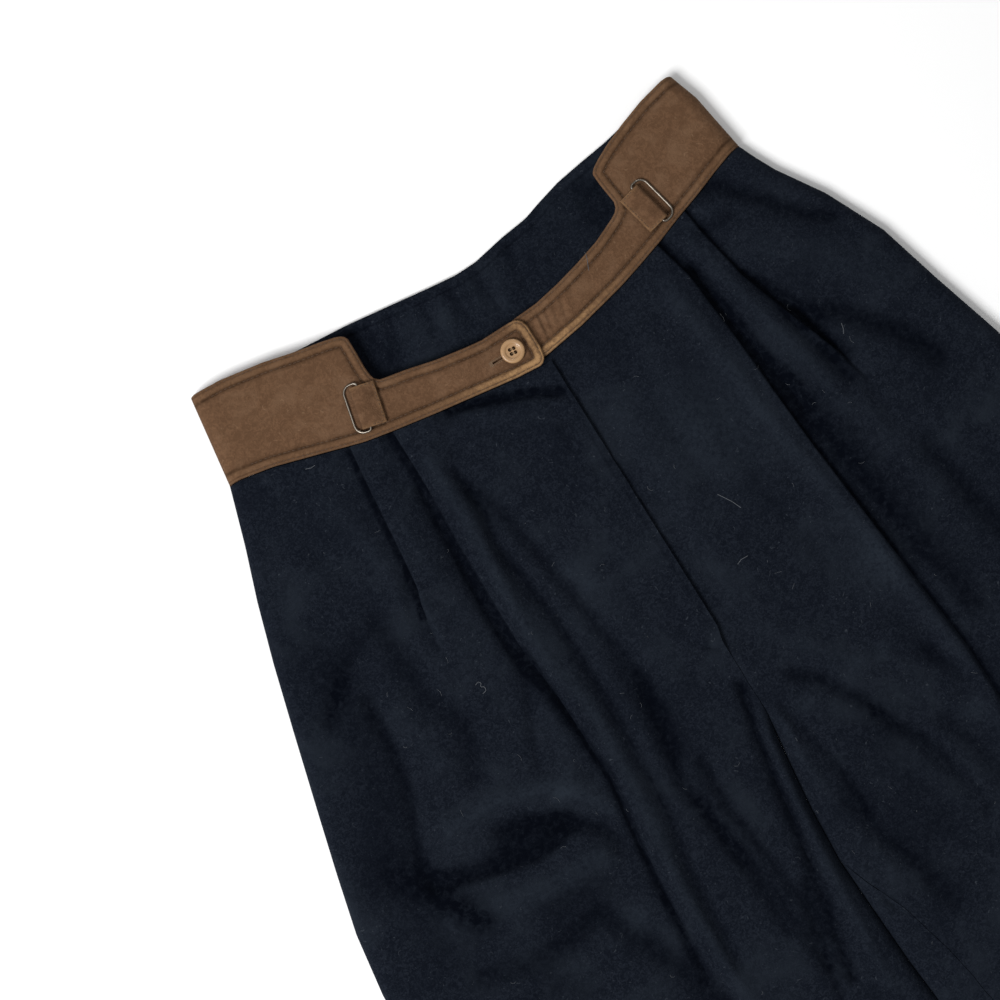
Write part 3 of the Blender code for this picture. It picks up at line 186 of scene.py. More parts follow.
# Folds of the fronts: points (x, y) down or along each, half width on its left and on its
# right as one goes along it, and height of the swell; a trough is below 0
FOLDS = (
    # under the buttonhole end
    (((-66.6, 258.8), (-52.2, 253.4), (-37.1, 248.8), (-22.9, 242.9), (-13.8, 238.4),
      (-3, 231.6)), 4, 3.2, -3.6),
    (((-60, 243), (-40, 237), (-25, 230)), 6, 8, 1.2),
    (((-73.1, 258.1), (-61.9, 247.5), (-51.7, 235.1)), 4, 4, -1.3),
    # beside the inner pleat at the image left: its bright ridge, and troughs to the right of that
    (((-93, 240), (-93, 191.9), (-96.2, 140), (-95.2, 92.3), (-90.5, 66), (-90, 33), (-92.3, 5.4),
      (-96.5, -30), (-100, -60), (-104, -300), (-106, -660)), 7, 5, 2.6),
    (((-84, 225), (-82.5, 195), (-86, 173), (-82.5, 143), (-79, 110), (-78.6, 65),
      (-82, 20), (-84, -20.7), (-91, -54), (-96, -120)), 4.5, 4.5, -2.8),
    (((-79, 210), (-72, 190), (-66, 150), (-62, 126), (-58, 90), (-53.5, 60),
      (-58, 25), (-68, -10), (-62, -45), (-56, -79), (-50, -150)), 5, 6, -2.1),
    (((-55, 50), (-57, 15)), 11, 11, -1.5),
    (((-70, 80), (-69, 40), (-72, 5)), 4, 4, 1.3),
    (((-48.7, -4), (-51.4, -34.9), (-46.8, -67.1), (-42, -130)), 4.5, 4.5, -2.1),
    (((-62, -21.6), (-63.4, -46.6), (-62.7, -67.5), (-60, -120)), 4, 4, -1.3),
    (((-47, 140), (-42, 90), (-36, 50)), 9, 9, 1.1),
    # the valley on the left of that pleat, and the crease that it runs into
    (((-106.5, 226), (-108.5, 185), (-109.5, 150), (-110, 118), (-108, 95)), 4, 5, -3),
    (((-109.7, 174.8), (-113.4, 147.8), (-113.6, 124.2), (-113.9, 107), (-115.2, 93.1), (-119.7, 81.2),
      (-128.6, 64.7), (-136.6, 44.8)), 3.2, 3.2, -1.7),
    (((-105, 110), (-103, 70.7), (-102.1, 43.8), (-99.9, 19), (-102.8, 0.2), (-106.4, -19.6),
      (-111, -50.5), (-116, -120)), 2.8, 3.6, -2.6),
    (((-112, 72), (-114, 50), (-122, 28)), 6, 7, 1.7),
    (((-119.8, 253.9), (-116.7, 240)), 5, 5, -1),
    (((-128, 215), (-124, 150)), 6, 6, 1),
    # hip and thigh at the image left
    (((-228.8, 136.6), (-190.9, 169.6)), 9, 9, -2),
    (((-201.9, 134.2), (-205, 100), (-209.5, 78), (-225.1, 41), (-228.8, 14.7)), 4.5, 6, -2.4),
    (((-172.6, 174), (-172, 118), (-160, 92), (-172, 62)), 9, 9, -2),
    (((-186, 232), (-176, 205)), 7, 7, -1),
    (((-160, 255), (-150, 205), (-145, 150)), 8, 8, 1.3),
    (((-190, 120), (-184, 80)), 8, 8, 1.4),
    (((-226, 16), (-200.5, 8.4), (-184.1, 4.1), (-164.9, -0.6), (-153.2, 0), (-138.2, 4.7)), 8, 3.6, -4.4),
    (((-175.6, 26), (-157.5, 22), (-143.8, 14), (-129.9, 2), (-121.3, -7), (-118, -20)), 4.5, 8, -2.6),
    (((-200, 42), (-170, 42), (-139.7, 33), (-121, 19), (-112, 2)), 8, 5.5, 3),
    (((-224, -6), (-185, -16), (-156, -21), (-131, -20)), 7, 11, 3.2),
    (((-232, -46), (-196, -56), (-150, -52), (-126, -105), (-112, -150)), 10, 10, -2.2),
    # fly
    (((-18.5, 236), (-18.5, 190), (-20, 140), (-22, 90)), 3.5, 3.5, 1),
    (((-17.5, 206), (-18.2, 188)), 2.6, 2.6, -0.9),
    (((-19.3, 186.3), (-8.7, 182.1), (1, 180.5)), 3, 3, -1.1),
    (((-19, 159.9), (-9.9, 155.4), (0, 156)), 3.5, 3.5, -0.9),
    (((-10, 132), (-1, 128)), 3.5, 3.5, -0.6),
    (((-20.6, 238), (-20.6, 150), (-20, 90), (-15.5, 60.2), (-11.1, 53), (-5.4, 48), (-0.6, 46.4)),
     1, 1, -0.5),
    (((-16, 58), (-11.1, 52.6), (-4, 47.4)), 1.8, 1.8, -1),
    # both sides of the crotch seam
    (((-5, 22), (-8.5, 5), (-12.5, -8), (-13.7, -20), (-18.3, -40.4), (-20.5, -60), (-25.6, -89.5),
      (-33.5, -128.7), (-41.5, -165)), 4, 4, -3.8),
    (((-35, -100), (-45, -135), (-56, -180)), 4, 4, -2.4),
    (((-4, 2), (-8, -20), (-13, -55), (-17, -95), (-20, -130), (-24, -180)), 3.4, 3.4, 1.8),
    (((5.5, -2), (4.4, -33), (4.8, -55), (7, -77.9), (10, -95.9), (14, -125)), 4, 4, 1.5),
    (((9, -2), (15.2, -31), (18.8, -47.1), (22, -85)), 4, 4, -1.9),
    (((11.4, -74), (17, -94.1), (25.7, -113.3), (36, -160)), 7, 7, -2),
    (((1.5, -136), (4, -141)), 3.6, 3.6, -3.2),
    # thigh at the image right
    (((25.5, 12), (39.5, -0.8), (45.7, -13), (55.8, -27.6), (58.8, -40.4), (65, -52.6), (71.4, -62.1),
      (76, -80), (84, -120)), 5, 5, -2.7),
    (((60, -70), (80, -113)), 9, 9, 1.8),
    (((30, 40), (46, 18), (60, -8)), 8, 8, 1.3),
    (((104, -20), (112.9, -39.8), (118.4, -52.9), (124, -70.1), (130, -120)), 5, 5, -2.3),
    (((90, -60), (98, -85.6), (102, -105.7), (106, -150)), 6, 6, -1.9),
    (((99, 6), (105, -22)), 12, 12, -1.3),
    # the inner pleat at the image right: ridge on its edge, valley beyond it
    (((88, 255), (92, 215), (95, 170), (101, 120), (109, 60), (113, 20), (117, -15),
      (121, -60), (126, -300), (126, -660)), 5, 9, 1.9),
    (((105.8, 252), (106.2, 230.2), (108.3, 212.3), (111.6, 190.2), (116, 169.3), (118, 145)), 5.5, 4, -3.8),
    (((115, 160), (119, 120), (124, 80), (128, 30)), 7, 5, -2),
    (((99.9, 277.2), (104.2, 265), (106.2, 253), (107, 237)), 2.6, 2.6, -1.3),
    # the outer pleat at the image right and the hip beyond it
    (((113, 267.4), (119, 240), (125, 212), (130, 190), (135, 165), (140, 130)), 4.5, 5, 1.9),
    (((130.7, 234), (137.1, 224.1), (142.8, 212.2), (146.3, 200.5), (148, 189.9)), 4.2, 4, -3.2),
    (((133.5, 223.7), (137.6, 206.5), (140, 187.2), (144.3, 170.7), (150, 145)), 4, 4, -2.4),
    (((148.2, 173.1), (151.4, 159.1), (155.7, 146.9), (160, 110)), 5, 5, -1.6),
    (((136.3, 291.5), (147.6, 286.7), (157, 274.9), (165.7, 266), (174.5, 253.3), (185.2, 241.8),
      (194.8, 236)), 6, 6.5, -2.7),
    (((122, 270.5), (130, 268), (143.7, 268.9)), 3.6, 3.6, -1.7),
    (((127, 281), (140, 279)), 4, 4, 0.9),
    (((150, 242), (176, 220), (203, 182)), 13, 13, 1.7),
    (((150.3, 195.6), (167.5, 184.9), (181.4, 169), (192.6, 154.8), (205, 130)), 8, 10, -2.8),
    (((169, 83.6), (181.8, 20.7)), 10, 10, -2.4),
    (((150, 130), (162, 60)), 8, 8, 1.4),
    (((41, 190), (40.8, 177.3), (42.3, 160), (44, 130)), 4, 4, -1.1),
    (((3.5, 190), (5, 160)), 3, 3, -0.9),
    (((24, 228), (26, 150), (22, 90)), 8, 8, 0.8),
    (((66, 190), (70, 120), (78, 60)), 7, 7, -1),
    (((58, 230), (60, 160)), 7, 7, 0.8),
    # lower legs
    (((-205, -190), (-150, -240)), 14, 14, -2.2),
    (((-75, -330), (-50, -420)), 12, 12, -2),
    (((-190, -470), (-150, -540)), 14, 14, -2),
    (((205, -180), (165, -240)), 14, 14, -2.2),
    (((75, -230), (95, -330)), 12, 12, -2),
    (((190, -440), (160, -520)), 14, 14, -2),
    (((-140, -170), (-124, -260), (-134, -350)), 10, 8, 1.6),
    (((-235, -250), (-214, -330), (-218, -420)), 9, 12, -1.8),
    (((-60, -480), (-72, -560), (-64, -650)), 9, 9, 1.5),
    (((150, -150), (144, -230), (152, -330)), 9, 11, 1.7),
    (((60, -420), (84, -500), (78, -600)), 10, 8, -1.7),
    (((215, -330), (198, -400)), 10, 10, 1.5),
    (((-170, -600), (-150, -660)), 10, 10, -1.5),
)
# Depth of a trough at which its painted shade is full, and height of a ridge at which its painted highlight
# is full
SHADE_DEPTH = 3.2
# Shallow waves of the facing in the dip, and of the waistband beside the button end, in the same columns
FACING_FOLDS = (
    (((76, 330), (74, 314)), 7, 7, -4),
    (((-90, 330), (-88, 300)), 8, 8, -4),
    (((-46, 330), (-50, 300)), 3, 3, -0.9),
    (((-30, 325), (-27, 300)), 3, 3, -1.1),
    (((-12, 326), (-9, 296)), 3.5, 3.5, -0.9),
    (((16, 326), (12, 298)), 4, 4, -0.8),
    (((36, 330), (38, 304)), 3, 3, -0.7),
    (((-70, 328), (-76, 302)), 5, 5, -1.4),
    (((-36, 318), (-42, 296)), 3, 3, 0.7),
    (((2, 322), (-2, 296)), 4, 4, 0.7),
)
BAND_PUCKERS = (
    (((5.5, 280), (3.4, 262)), 1.6, 1.6, -0.9),
    (((8.2, 281), (6.2, 264)), 1.2, 1.2, 0.5),
    (((11, 281), (8.6, 264)), 1.4, 1.4, -0.8),
    (((16, 281), (13, 266)), 1.6, 1.6, -1),
    (((21.6, 281.5), (18.4, 268)), 1.6, 1.6, -0.7),
    (((28.4, 282), (24, 269)), 1.9, 1.9, -0.8),
    (((36, 283), (31, 270)), 2.2, 2.2, -0.5),
)
# Lines and clouds of painted shade on the fronts, in the same columns; the last number is the amount.
# The first ones lie along the fold edges of the pleats, where the upper layer shades the lower.
PAINTED_SHADES = (
    (((-131.3, 270), (-133.6, 252), (-139.6, 195), (-142, 176), (-146, 160)), 0.8, 2.6, 1.9),
    (((-143, 185), (-147, 158), (-150, 140)), 2, 4, 0.5),
    (((-104, 264), (-104.2, 228), (-106.2, 190), (-107, 160), (-107.6, 120), (-105, 85)),
     0.9, 3.8, 2),
    (((-108, 205), (-109.5, 160), (-109.5, 112), (-106, 60)), 2.5, 4.5, 0.7),
    (((-105, 85), (-103.4, 45), (-102.5, 15), (-107.6, -22), (-112, -60), (-118, -120)),
     1.2, 2.6, 1.5),
    (((95.6, 277), (101.8, 251), (105.8, 206.8), (108.6, 164.7), (111.4, 122.9)), 2.6, 0.8, 1.2),
    (((108.6, 164.7), (111.4, 122.9), (115.2, 81.1), (120.4, 23.5), (125.6, -28.7),
      (128, -120)), 2.6, 1.2, 1.2),
    (((108, 225), (111, 185), (117, 155)), 6, 3, 0.9),
    (((114, 165), (121, 135), (128, 95), (134, 45), (139, -10)), 13, 5, 0.75),
    (((140, 203), (152, 178), (156, 160)), 7, 4, 0.8),
    (((120.4, 285), (123, 266.6), (129.2, 235.5), (141, 199), (152, 168)), 2.4, 0.8, 0.8),
    (((-212, 175), (-212, 130), (-222, 80), (-242, 40)), 9, 22, 0.5),
    (((-246, 30), (-240, -20)), 14, 22, 0.45),
    (((-182, 13), (-165, 14), (-142, 10)), 8, 8, 0.75),
    (((-214, -78), (-196, -72), (-186, -86)), 9, 9, 0.4),
    (((-40, 249.5), (-22.9, 242.9), (-13.8, 238.6), (-4, 233.2)), 2.2, 2.6, 1.9),
    (((-64, 258), (-50, 253), (-36, 248)), 3, 3, 0.5),
    (((-17, 214), (-18.2, 190)), 1.2, 1.8, 0.6),
    (((20, -60), (28, -100), (40, -150)), 9, 9, 0.3),
    (((-62, 60), (-60, 10), (-58, -60)), 12, 14, 0.3),
    (((-175, -35), (-150, -36)), 14, 14, 0.5),
    (((-234, 26), (-224, 4), (-214, -16)), 10, 10, 1),
    (((53, -40), (53, -110)), 15, 15, 0.35),
    (((-2, 250), (-2, 60)), 1.5, 0.6, 0.3),
)
# Pale patches on the fronts, (x, y, radius): small chalky smudges and a few broad lighter areas
SMUDGES = ((64.5, -2.7, 6), (79.4, -5.2, 5), (107.8, -65.5, 8), (22.5, -8.1, 5), (-58.5, 137, 8),
           (-50, 124, 6), (60, 165, 36), (104, 40, 18), (-137.4, -68.2, 6), (-134, -62, 9), (-131, 23, 8))

TAB_LENGTH = 26.5
TAB_REACH_IN = 10.6
TAB_TILT = 13.0
TAB_LOOP_IMAGE_LEFT = 2.9
TAB_LOOP_IMAGE_RIGHT = 1.7
TAB_FALL_FROM = 1.0
# How far the tabs' stitches lie inside the sewn edge and inside both ends
TAB_STITCH_INSET = 1.2
TAB_STITCH_END = 1.0
WIRE_RADIUS = 0.7
SLEEVE_CLEARANCE = 0.4
RING_LENGTH = 30.4
RING_WIDTH = 9.4
RING_CORNER = 2.0
RING_FAR_CORNER = 5.5
REST_CLEARANCE = 0.3
HINGE_IMAGE_LEFT = (-109.6, 288.0)
HINGE_IMAGE_RIGHT = (101.9, 300.6)

BUTTON_CENTRE = (-15.0, 268.5)
BUTTON_HOLE_RADIUS = 1.15
BUTTON_TURN = 38.5
BUTTON_HOLE_OFFSET = 1.9
# The button's section, (radius, height above its underside)
BUTTON_PROFILE = (
    (0.05, 0.0), (5.6, 0.0), (6.5, 0.25), (7.2, 0.75), (7.5, 1.4), (7.45, 2.0), (7.15, 2.45), (6.7, 2.72),
    (6.1, 2.8), (5.3, 2.76), (4.8, 2.6), (4.45, 2.3), (4.2, 2.08), (3.9, 2.0), (2.0, 1.96), (0.05, 1.95),
)
BUTTON_SHARP = 35.0
BUTTON_SIDES = 72
HOLE_SIDES = 20
HOLE_DEPTH = 8.0
# The thread between two holes: half the distance of its strands, its height and how deep it dips
STRAND_OFFSET = 0.14
STRAND_TOP = 2.06
STRAND_DIP = 2.2
BUTTON_THREAD_RADIUS = 0.11
BUTTON_THREAD_COLOUR = (0.22, 0.15, 0.08)
BUTTONHOLE_THREAD_RADIUS = 0.19
# Distance between the stitches along the buttonhole and round its end, and where they start beside the slot
BUTTONHOLE_PITCH = 0.42
BUTTONHOLE_END_PITCH = 0.36
BUTTONHOLE_INSET = 0.6
STITCH_SINK = 0.3
SLOT_LEFT = -29.3
SLOT_RIGHT = -13.4

# Distances of the two rows of stitches from the waistband's edge
WELT_ROWS = (1.7, 6.4)
FLAT_ZONE = (-188.0, 149.0)

# Loose threads, (points), and where lint lies: the part of the fronts that it is strewn over
LOOSE_THREADS = (
    ((-25.2, 322), (-23.6, 319), (-21.4, 315.4)),
    ((44.8, 128.4), (47.5, 124.1), (50.3, 119.4), (52.5, 114)),
    ((32.5, 85.9), (36, 87.2), (40.4, 87)),
    ((-142, 108), (-139.5, 109), (-138.2, 107.2), (-140.2, 105.6), (-137.6, 104.4), (-138.2, 101.8),
     (-141, 101.2)),
    ((-160.1, 274.7), (-156.8, 273.4), (-154, 273.6)),
    ((104.8, 221.2), (105.3, 218), (104.6, 215.6)),
    ((164.3, 176.9), (163.4, 173.4), (161.9, 170.6)),
    ((55, 297), (52.8, 291), (50.4, 285.6)),
)
LOOSE_THREAD_RADIUS = 0.17
LINT_RADIUS = 0.07
LINT_LIFT = 0.12
LINT_COUNT = 70
LINT_ZONE = (-225.0, 190.0, -190.0, 235.0)

# In metres: the height a ray starts from to find the cloth below, and the lowest cloth that holds lint
RAY_HEIGHT = 0.1
LINT_LOWEST = 0.004
DOWN = (0.0, 0.0, -1.0)

# The camera looks straight down, turned as the photograph is; the view is this wide on the table
VIEW_CENTRE = (-69.5, 195.8)
VIEW_WIDTH = 610.0
VIEW_UP = (0.53, 0.848)
CAMERA_HEIGHT = 1600.0
SENSOR_WIDTH = 36.0

# In metres and watts: the table's half width and sink, and the lamps (name, place from the view's centre,
# size, power)
TABLE_REACH = 6.0
TABLE_LEVEL = -0.0004
ROOM_LIGHT = 0.30
LAMPS = (
    ("key", (-1.5, -0.3, 1.9), 1.0, 66.0),
    ("fill", (0.9, 0.9, 2.2), 2.0, 7.0),
    ("glint", (0.69, 1.10, 0.9), 0.3, 2.0),
)


def soft_step(value):
    """Rise from 0 to 1 as the value goes from 0 to 1, level at both ends: 3 t squared less 2 t cubed."""
    t = np.clip(value, 0.0, 1.0)
    return t * t * (3.0 - 2.0 * t)


def from_table(table, value):
    """Straight-line reading of a two-column table whose first column rises."""
    columns = np.array(table)
    return np.interp(value, columns[:, 0], columns[:, 1])


def line_distance(x, y, points):
    """Distance of each (x, y) to a broken line, and the side it lies on from -1 to 1 (1 is its left)."""
    nearest = np.full(np.shape(x), 1.0e12)
    side = np.zeros(np.shape(x))
    for (ax, ay), (bx, by) in zip(points[:-1], points[1:]):
        squared = (bx - ax) ** 2 + (by - ay) ** 2
        along = np.clip(((x - ax) * (bx - ax) + (y - ay) * (by - ay)) / squared, 0.0, 1.0)
        away_x = x - ax - along * (bx - ax)
        away_y = y - ay - along * (by - ay)
        away = away_x ** 2 + away_y ** 2
        turn = ((bx - ax) * away_y - (by - ay) * away_x) / (math.sqrt(squared) * np.sqrt(away) + 1.0e-9)
        closer = away < nearest
        nearest = np.where(closer, away, nearest)
        side = np.where(closer, turn, side)
    return np.sqrt(nearest), side


def swell(x, y, folds):
    """Sum of the folds: each falls away as a bell with the distance from its line, wider on one side."""
    total = np.zeros(np.shape(x))
    for points, left, right, height in folds:
        away, side = line_distance(x, y, points)
        width = 0.5 * (left + right) + 0.5 * (left - right) * side
        total = total + height * np.exp(-(away / width) ** 2)
    return total


def ripple(x, y):
    """The cloth's own slow unevenness, under a third of a millimetre: a few crossing sine waves."""
    slow = 0.16 * np.sin(x / 23.0 + 1.3 * np.sin(y / 61.0)) + 0.13 * np.sin(y / 31.0 + x / 47.0)
    return slow + 0.06 * np.sin(x / 7.9 + y / 11.3) * np.sin(y / 19.0 + 2.0)


def front_height(x, y):
    """Height of the front cloth's middle where it has no pleat under it."""
    return from_table(FRONT_LOFT, y) + swell(x, y, FOLDS) + ripple(x, y)


class Half:
    """What differs between the two halves; m runs from the side seam towards the centre front."""

    def __init__(self, sign, side, inner, roll, band_foot, outer_pleat, inner_pleat):
        self.sign = sign
        self.side = side
        self.inner = inner
        self.roll = roll
        self.band_foot = band_foot
        self.outer_pleat = outer_pleat
        self.inner_pleat = inner_pleat

    def at_y(self, table, y):
        """The m of a (y, x) table at y."""
        return self.sign * from_table(table, y)

    def row_y(self, level_y, m, foot=None):
        """The y of a row at m: rows follow the waist seam at the top and grow level further down."""
        follow = soft_step((level_y - ROW_LEVEL_Y) / (TOP_ROW_Y - ROW_LEVEL_Y))
        seam = from_table(foot or self.band_foot, self.sign * m) - WAIST_SEAM_GAP
        return level_y + follow * (seam - TOP_ROW_Y)

    def back_row_y(self, level_y, m):
        """The same for the backs, which follow the foot of the back band."""
        return self.row_y(level_y, m, BACK_BAND_FOOT)

    def settle(self, table, level_y, row_y):
        """The m at which a row crosses a (y, x) line, found by a few repeats."""
        m = self.at_y(table, level_y)
        for _ in range(6):
            m = self.at_y(table, row_y(level_y, m))
        return m


IMAGE_LEFT = Half(1.0, SIDE_IMAGE_LEFT, INNER_IMAGE_LEFT, NO_ROLL, BAND_FOOT_IMAGE_LEFT,
                  PLEAT_OUTER_IMAGE_LEFT, PLEAT_INNER_IMAGE_LEFT)
IMAGE_RIGHT = Half(-1.0, SIDE_IMAGE_RIGHT, INNER_IMAGE_RIGHT, INSEAM_ROLL, BAND_FOOT_IMAGE_RIGHT,
                   PLEAT_OUTER_IMAGE_RIGHT, PLEAT_INNER_IMAGE_RIGHT)


def crotch_share(y):
    """0 above the crotch, 1 where the leg's inner edge is fully rounded."""
    return soft_step((10.0 - y) / 30.0)


def spread(start, end, shares):
    """Columns at the given shares of the way from start to end, in every row."""
    return start[:, None] + (end - start)[:, None] * np.asarray(shares)[None, :]


EDGE_SHARES = (0.0, 0.16, 0.32, 0.46, 0.58, 0.68, 0.76, 0.82, 0.87, 0.91, 0.945, 0.975, 1.0)


def inner_shares(count):
    """Shares between two ends without the ends themselves."""
    return np.linspace(0.0, 1.0, count + 2)[1:-1]


def front_slope(half, m, y):
    """Rise of the front cloth over one millimetre of m."""
    return front_height(half.sign * (m + 0.5), y) - front_height(half.sign * (m - 0.5), y)


def row_normals(sign, step_m, step_z):
    """Normals of a surface square to the steps along its rows, with no part along y."""
    length = np.sqrt(step_m ** 2 + step_z ** 2)
    return np.stack((-sign * step_z / length, np.zeros(step_m.shape), step_m / length), axis=2)


def pleat_turns(half, line, level_y, depth_table, turn_table):
    """One pleat's fold in every row: m, lift and tangent through both turns.

    Arc one turns the cloth back under, arc two turns it forward again; both hold the same length of cloth, so
    the radius grows as the turn opens.
    """
    turn = np.radians(from_table(turn_table, level_y))
    depth = from_table(depth_table, level_y)
    radius = 0.5 * (NAVY_WALL + FOLD_GAP) * math.pi / turn
    edge = half.settle(line, level_y, half.row_y)
    folded = radius * (1.0 - np.sin(turn)) - 0.5 * depth * np.cos(turn)
    middle = edge + 0.5 * NAVY_WALL + np.where(turn > 0.5 * math.pi, folded, 0.0)
    rise = radius * (1.0 - np.cos(turn)) + 0.5 * depth * np.sin(turn)
    angle = np.linspace(0.0, 1.0, 9)[None, :] * turn[:, None]
    start = middle - 0.5 * depth * np.cos(turn) - radius * np.sin(turn)
    m_one = start[:, None] + radius[:, None] * np.sin(angle)
    lift_one = -rise[:, None] + radius[:, None] * (1.0 - np.cos(angle))
    m = np.concatenate((m_one, 2.0 * middle[:, None] - m_one[:, ::-1]), axis=1)
    lift = np.concatenate((lift_one, -lift_one[:, ::-1]), axis=1)
    along = np.concatenate((np.cos(angle), np.cos(angle[:, ::-1])), axis=1)
    up = np.concatenate((np.sin(angle), np.sin(angle[:, ::-1])), axis=1)
    reach = np.maximum(np.max(m_one, axis=1) + 0.5 * NAVY_WALL + 0.6, m[:, -1] + 1.5)
    return {"edge": edge, "m": m, "lift": lift, "along": along, "up": up, "rise": rise, "reach": reach}


def rolled_seam(half, level_y):
    """Where the inseam lies on the path over the leg's inner edge, and how far it has rolled."""
    rolled = from_table(half.roll, level_y)
    angle = np.arccos(np.clip(1.0 - rolled / EDGE_ROUND, 0.0, 1.0))
    return np.where(rolled < EDGE_ROUND, EDGE_ROUND * angle / (0.5 * math.pi), rolled), rolled


def front_surface(half, level_y, laps_over):
    """Middle surface and normals of one front, from the waist seam to the hem.

    Across a row the cloth comes up round the side edge, goes level to the outer pleat, folds back and forward
    again, goes on to the inner pleat, folds again, and goes level to the fly or down the leg's inner edge.
    """
    rows = level_y.size
    outer = pleat_turns(half, half.outer_pleat, level_y, OUTER_DEPTH, OUTER_TURN)
    inner = pleat_turns(half, half.inner_pleat, level_y, INNER_DEPTH, INNER_TURN)
    side = half.settle(half.side, level_y, half.row_y)
    share = crotch_share(level_y)[:, None]
    fly = soft_step((level_y - FLY_FOOT_Y) / 12.0)
    above = -0.5 * SEAM_GAP + fly * (FLY_LAP if laps_over else FLY_UNDERLAP)
    inner_edge = np.where(level_y > 0.0, above, half.at_y(half.inner, np.minimum(level_y, 0.0)))

    theta = np.linspace(0.0, 0.5 * math.pi, 11)
    side_m = side[:, None] + 0.5 * NAVY_WALL + EDGE_ROUND * (1.0 - np.cos(theta))[None, :]
    flat_m = spread(side_m[:, -1], outer["edge"] - NEAR_REACH, inner_shares(36))
    near_end = np.minimum(outer["edge"] + UNDER_EDGE, outer["m"][:, 0] - 0.5)
    near_m = spread(outer["edge"] - NEAR_REACH, near_end, EDGE_SHARES)
    upper_m = spread(outer["m"][:, -1], outer["reach"], (0.3, 0.65))
    strip_m = spread(outer["reach"], inner["edge"] - UNDER_REACH, np.linspace(0.0, 1.0, 14))
    under_end = np.minimum(inner["edge"] + UNDER_EDGE, inner["m"][:, 0] - 0.5)
    under_m = spread(inner["edge"] - UNDER_REACH, under_end, (0.2, 0.38, 0.54, 0.68, 0.8, 0.9, 1.0))
    raised_m = spread(inner["m"][:, -1], inner["reach"], (0.2, 0.4, 0.6, 0.8))
    past_m = inner["reach"][:, None] + np.linspace(0.0, 8.0, 5)[None, :]
    seam_at, rolled = rolled_seam(half, level_y)
    seam_at = seam_at + np.where(rolled > 0.0, 0.5 * SEAM_GAP, 0.0)
    shares = np.concatenate((np.linspace(1.0, 0.3, 9), np.linspace(0.26, 0.0, 10)))
    p = seam_at[:, None] + (LEG_EDGE_REACH - seam_at)[:, None] * shares[None, :]
    edge_angle = np.clip(p / EDGE_ROUND, 0.0, 1.0) * 0.5 * math.pi
    set_in = EDGE_ROUND * (1.0 - np.cos(edge_angle)) + np.maximum(p - EDGE_ROUND, 0.0)
    edge_m = inner_edge[:, None] - 0.5 * NAVY_WALL * share - set_in
    edge_e = 1.0 - share * (1.0 - np.sin(edge_angle))
    centre_m = spread(past_m[:, -1], edge_m[:, 0], inner_shares(15))

    blocks = (side_m, flat_m, near_m, outer["m"], upper_m, strip_m, under_m, inner["m"], raised_m, past_m,
              centre_m, edge_m)
    m = np.concatenate(blocks, axis=1)
    starts = np.cumsum([0] + [block.shape[1] for block in blocks])
    outer_rise = outer["rise"][:, None]
    inner_rise = inner["rise"][:, None]
    near_lift = -outer_rise * soft_step((near_m - outer["edge"][:, None] + NEAR_REACH) / 10.0)
    strip_share = soft_step((strip_m - strip_m[:, :1]) / (strip_m[:, -1:] - strip_m[:, :1]))
    strip_lift = outer_rise * (1.0 - strip_share) - inner_rise * strip_share
    past_lift = inner_rise * (1.0 - soft_step(np.linspace(0.0, 1.0, 5)))[None, :]
    lift = np.concatenate((
        0.0 * side_m, 0.0 * flat_m, near_lift, outer["lift"], outer_rise + 0.0 * upper_m, strip_lift,
        -inner_rise + 0.0 * under_m, inner["lift"], inner_rise + 0.0 * raised_m, past_lift, 0.0 * centre_m,
        0.0 * edge_m), axis=1)
    middle_e = np.ones((rows, m.shape[1] - side_m.shape[1] - edge_m.shape[1]))
    rise_share = np.concatenate((np.repeat(np.sin(theta)[None, :], rows, axis=0), middle_e, edge_e), axis=1)

    y = half.row_y(level_y[:, None], m)
    x = half.sign * m
    height = front_height(x, y)
    if not laps_over:
        lower = soft_step((m + 24.0) / 12.0) * soft_step((level_y[:, None] - FLY_FOOT_Y + 12.0) / 12.0)
        height = height - (height - from_table(FRONT_LOFT, y) + FLY_STEP) * lower
    start_z = SIDE_SEAM_HEIGHT + 0.5 * SEAM_GAP
    z = start_z + (height - start_z) * rise_share + lift

    step_m = np.gradient(m, axis=1)
    step_z = np.gradient(z, axis=1)
    slope = front_slope(half, m, y)
    for block, turns in ((3, outer), (7, inner)):
        zone = slice(starts[block], starts[block + 1])
        step_m[:, zone] = turns["along"]
        step_z[:, zone] = turns["up"] + slope[:, zone] * turns["along"]
    step_m[:, 0] = 0.0
    step_z[:, 0] = 1.0
    zone = slice(starts[-2] + 1, starts[-1])
    angle = edge_angle[:, 1:]
    step_m[:, zone] = EDGE_ROUND * (1.0 - share * (1.0 - np.sin(angle)))
    step_z[:, zone] = -(height[:, zone] - start_z) * share * np.cos(angle)
    step_z[:, zone] = step_z[:, zone] + slope[:, zone] * step_m[:, zone] * edge_e[:, 1:]
    return np.stack((x, y, z), axis=2), row_normals(half.sign, step_m, step_z)


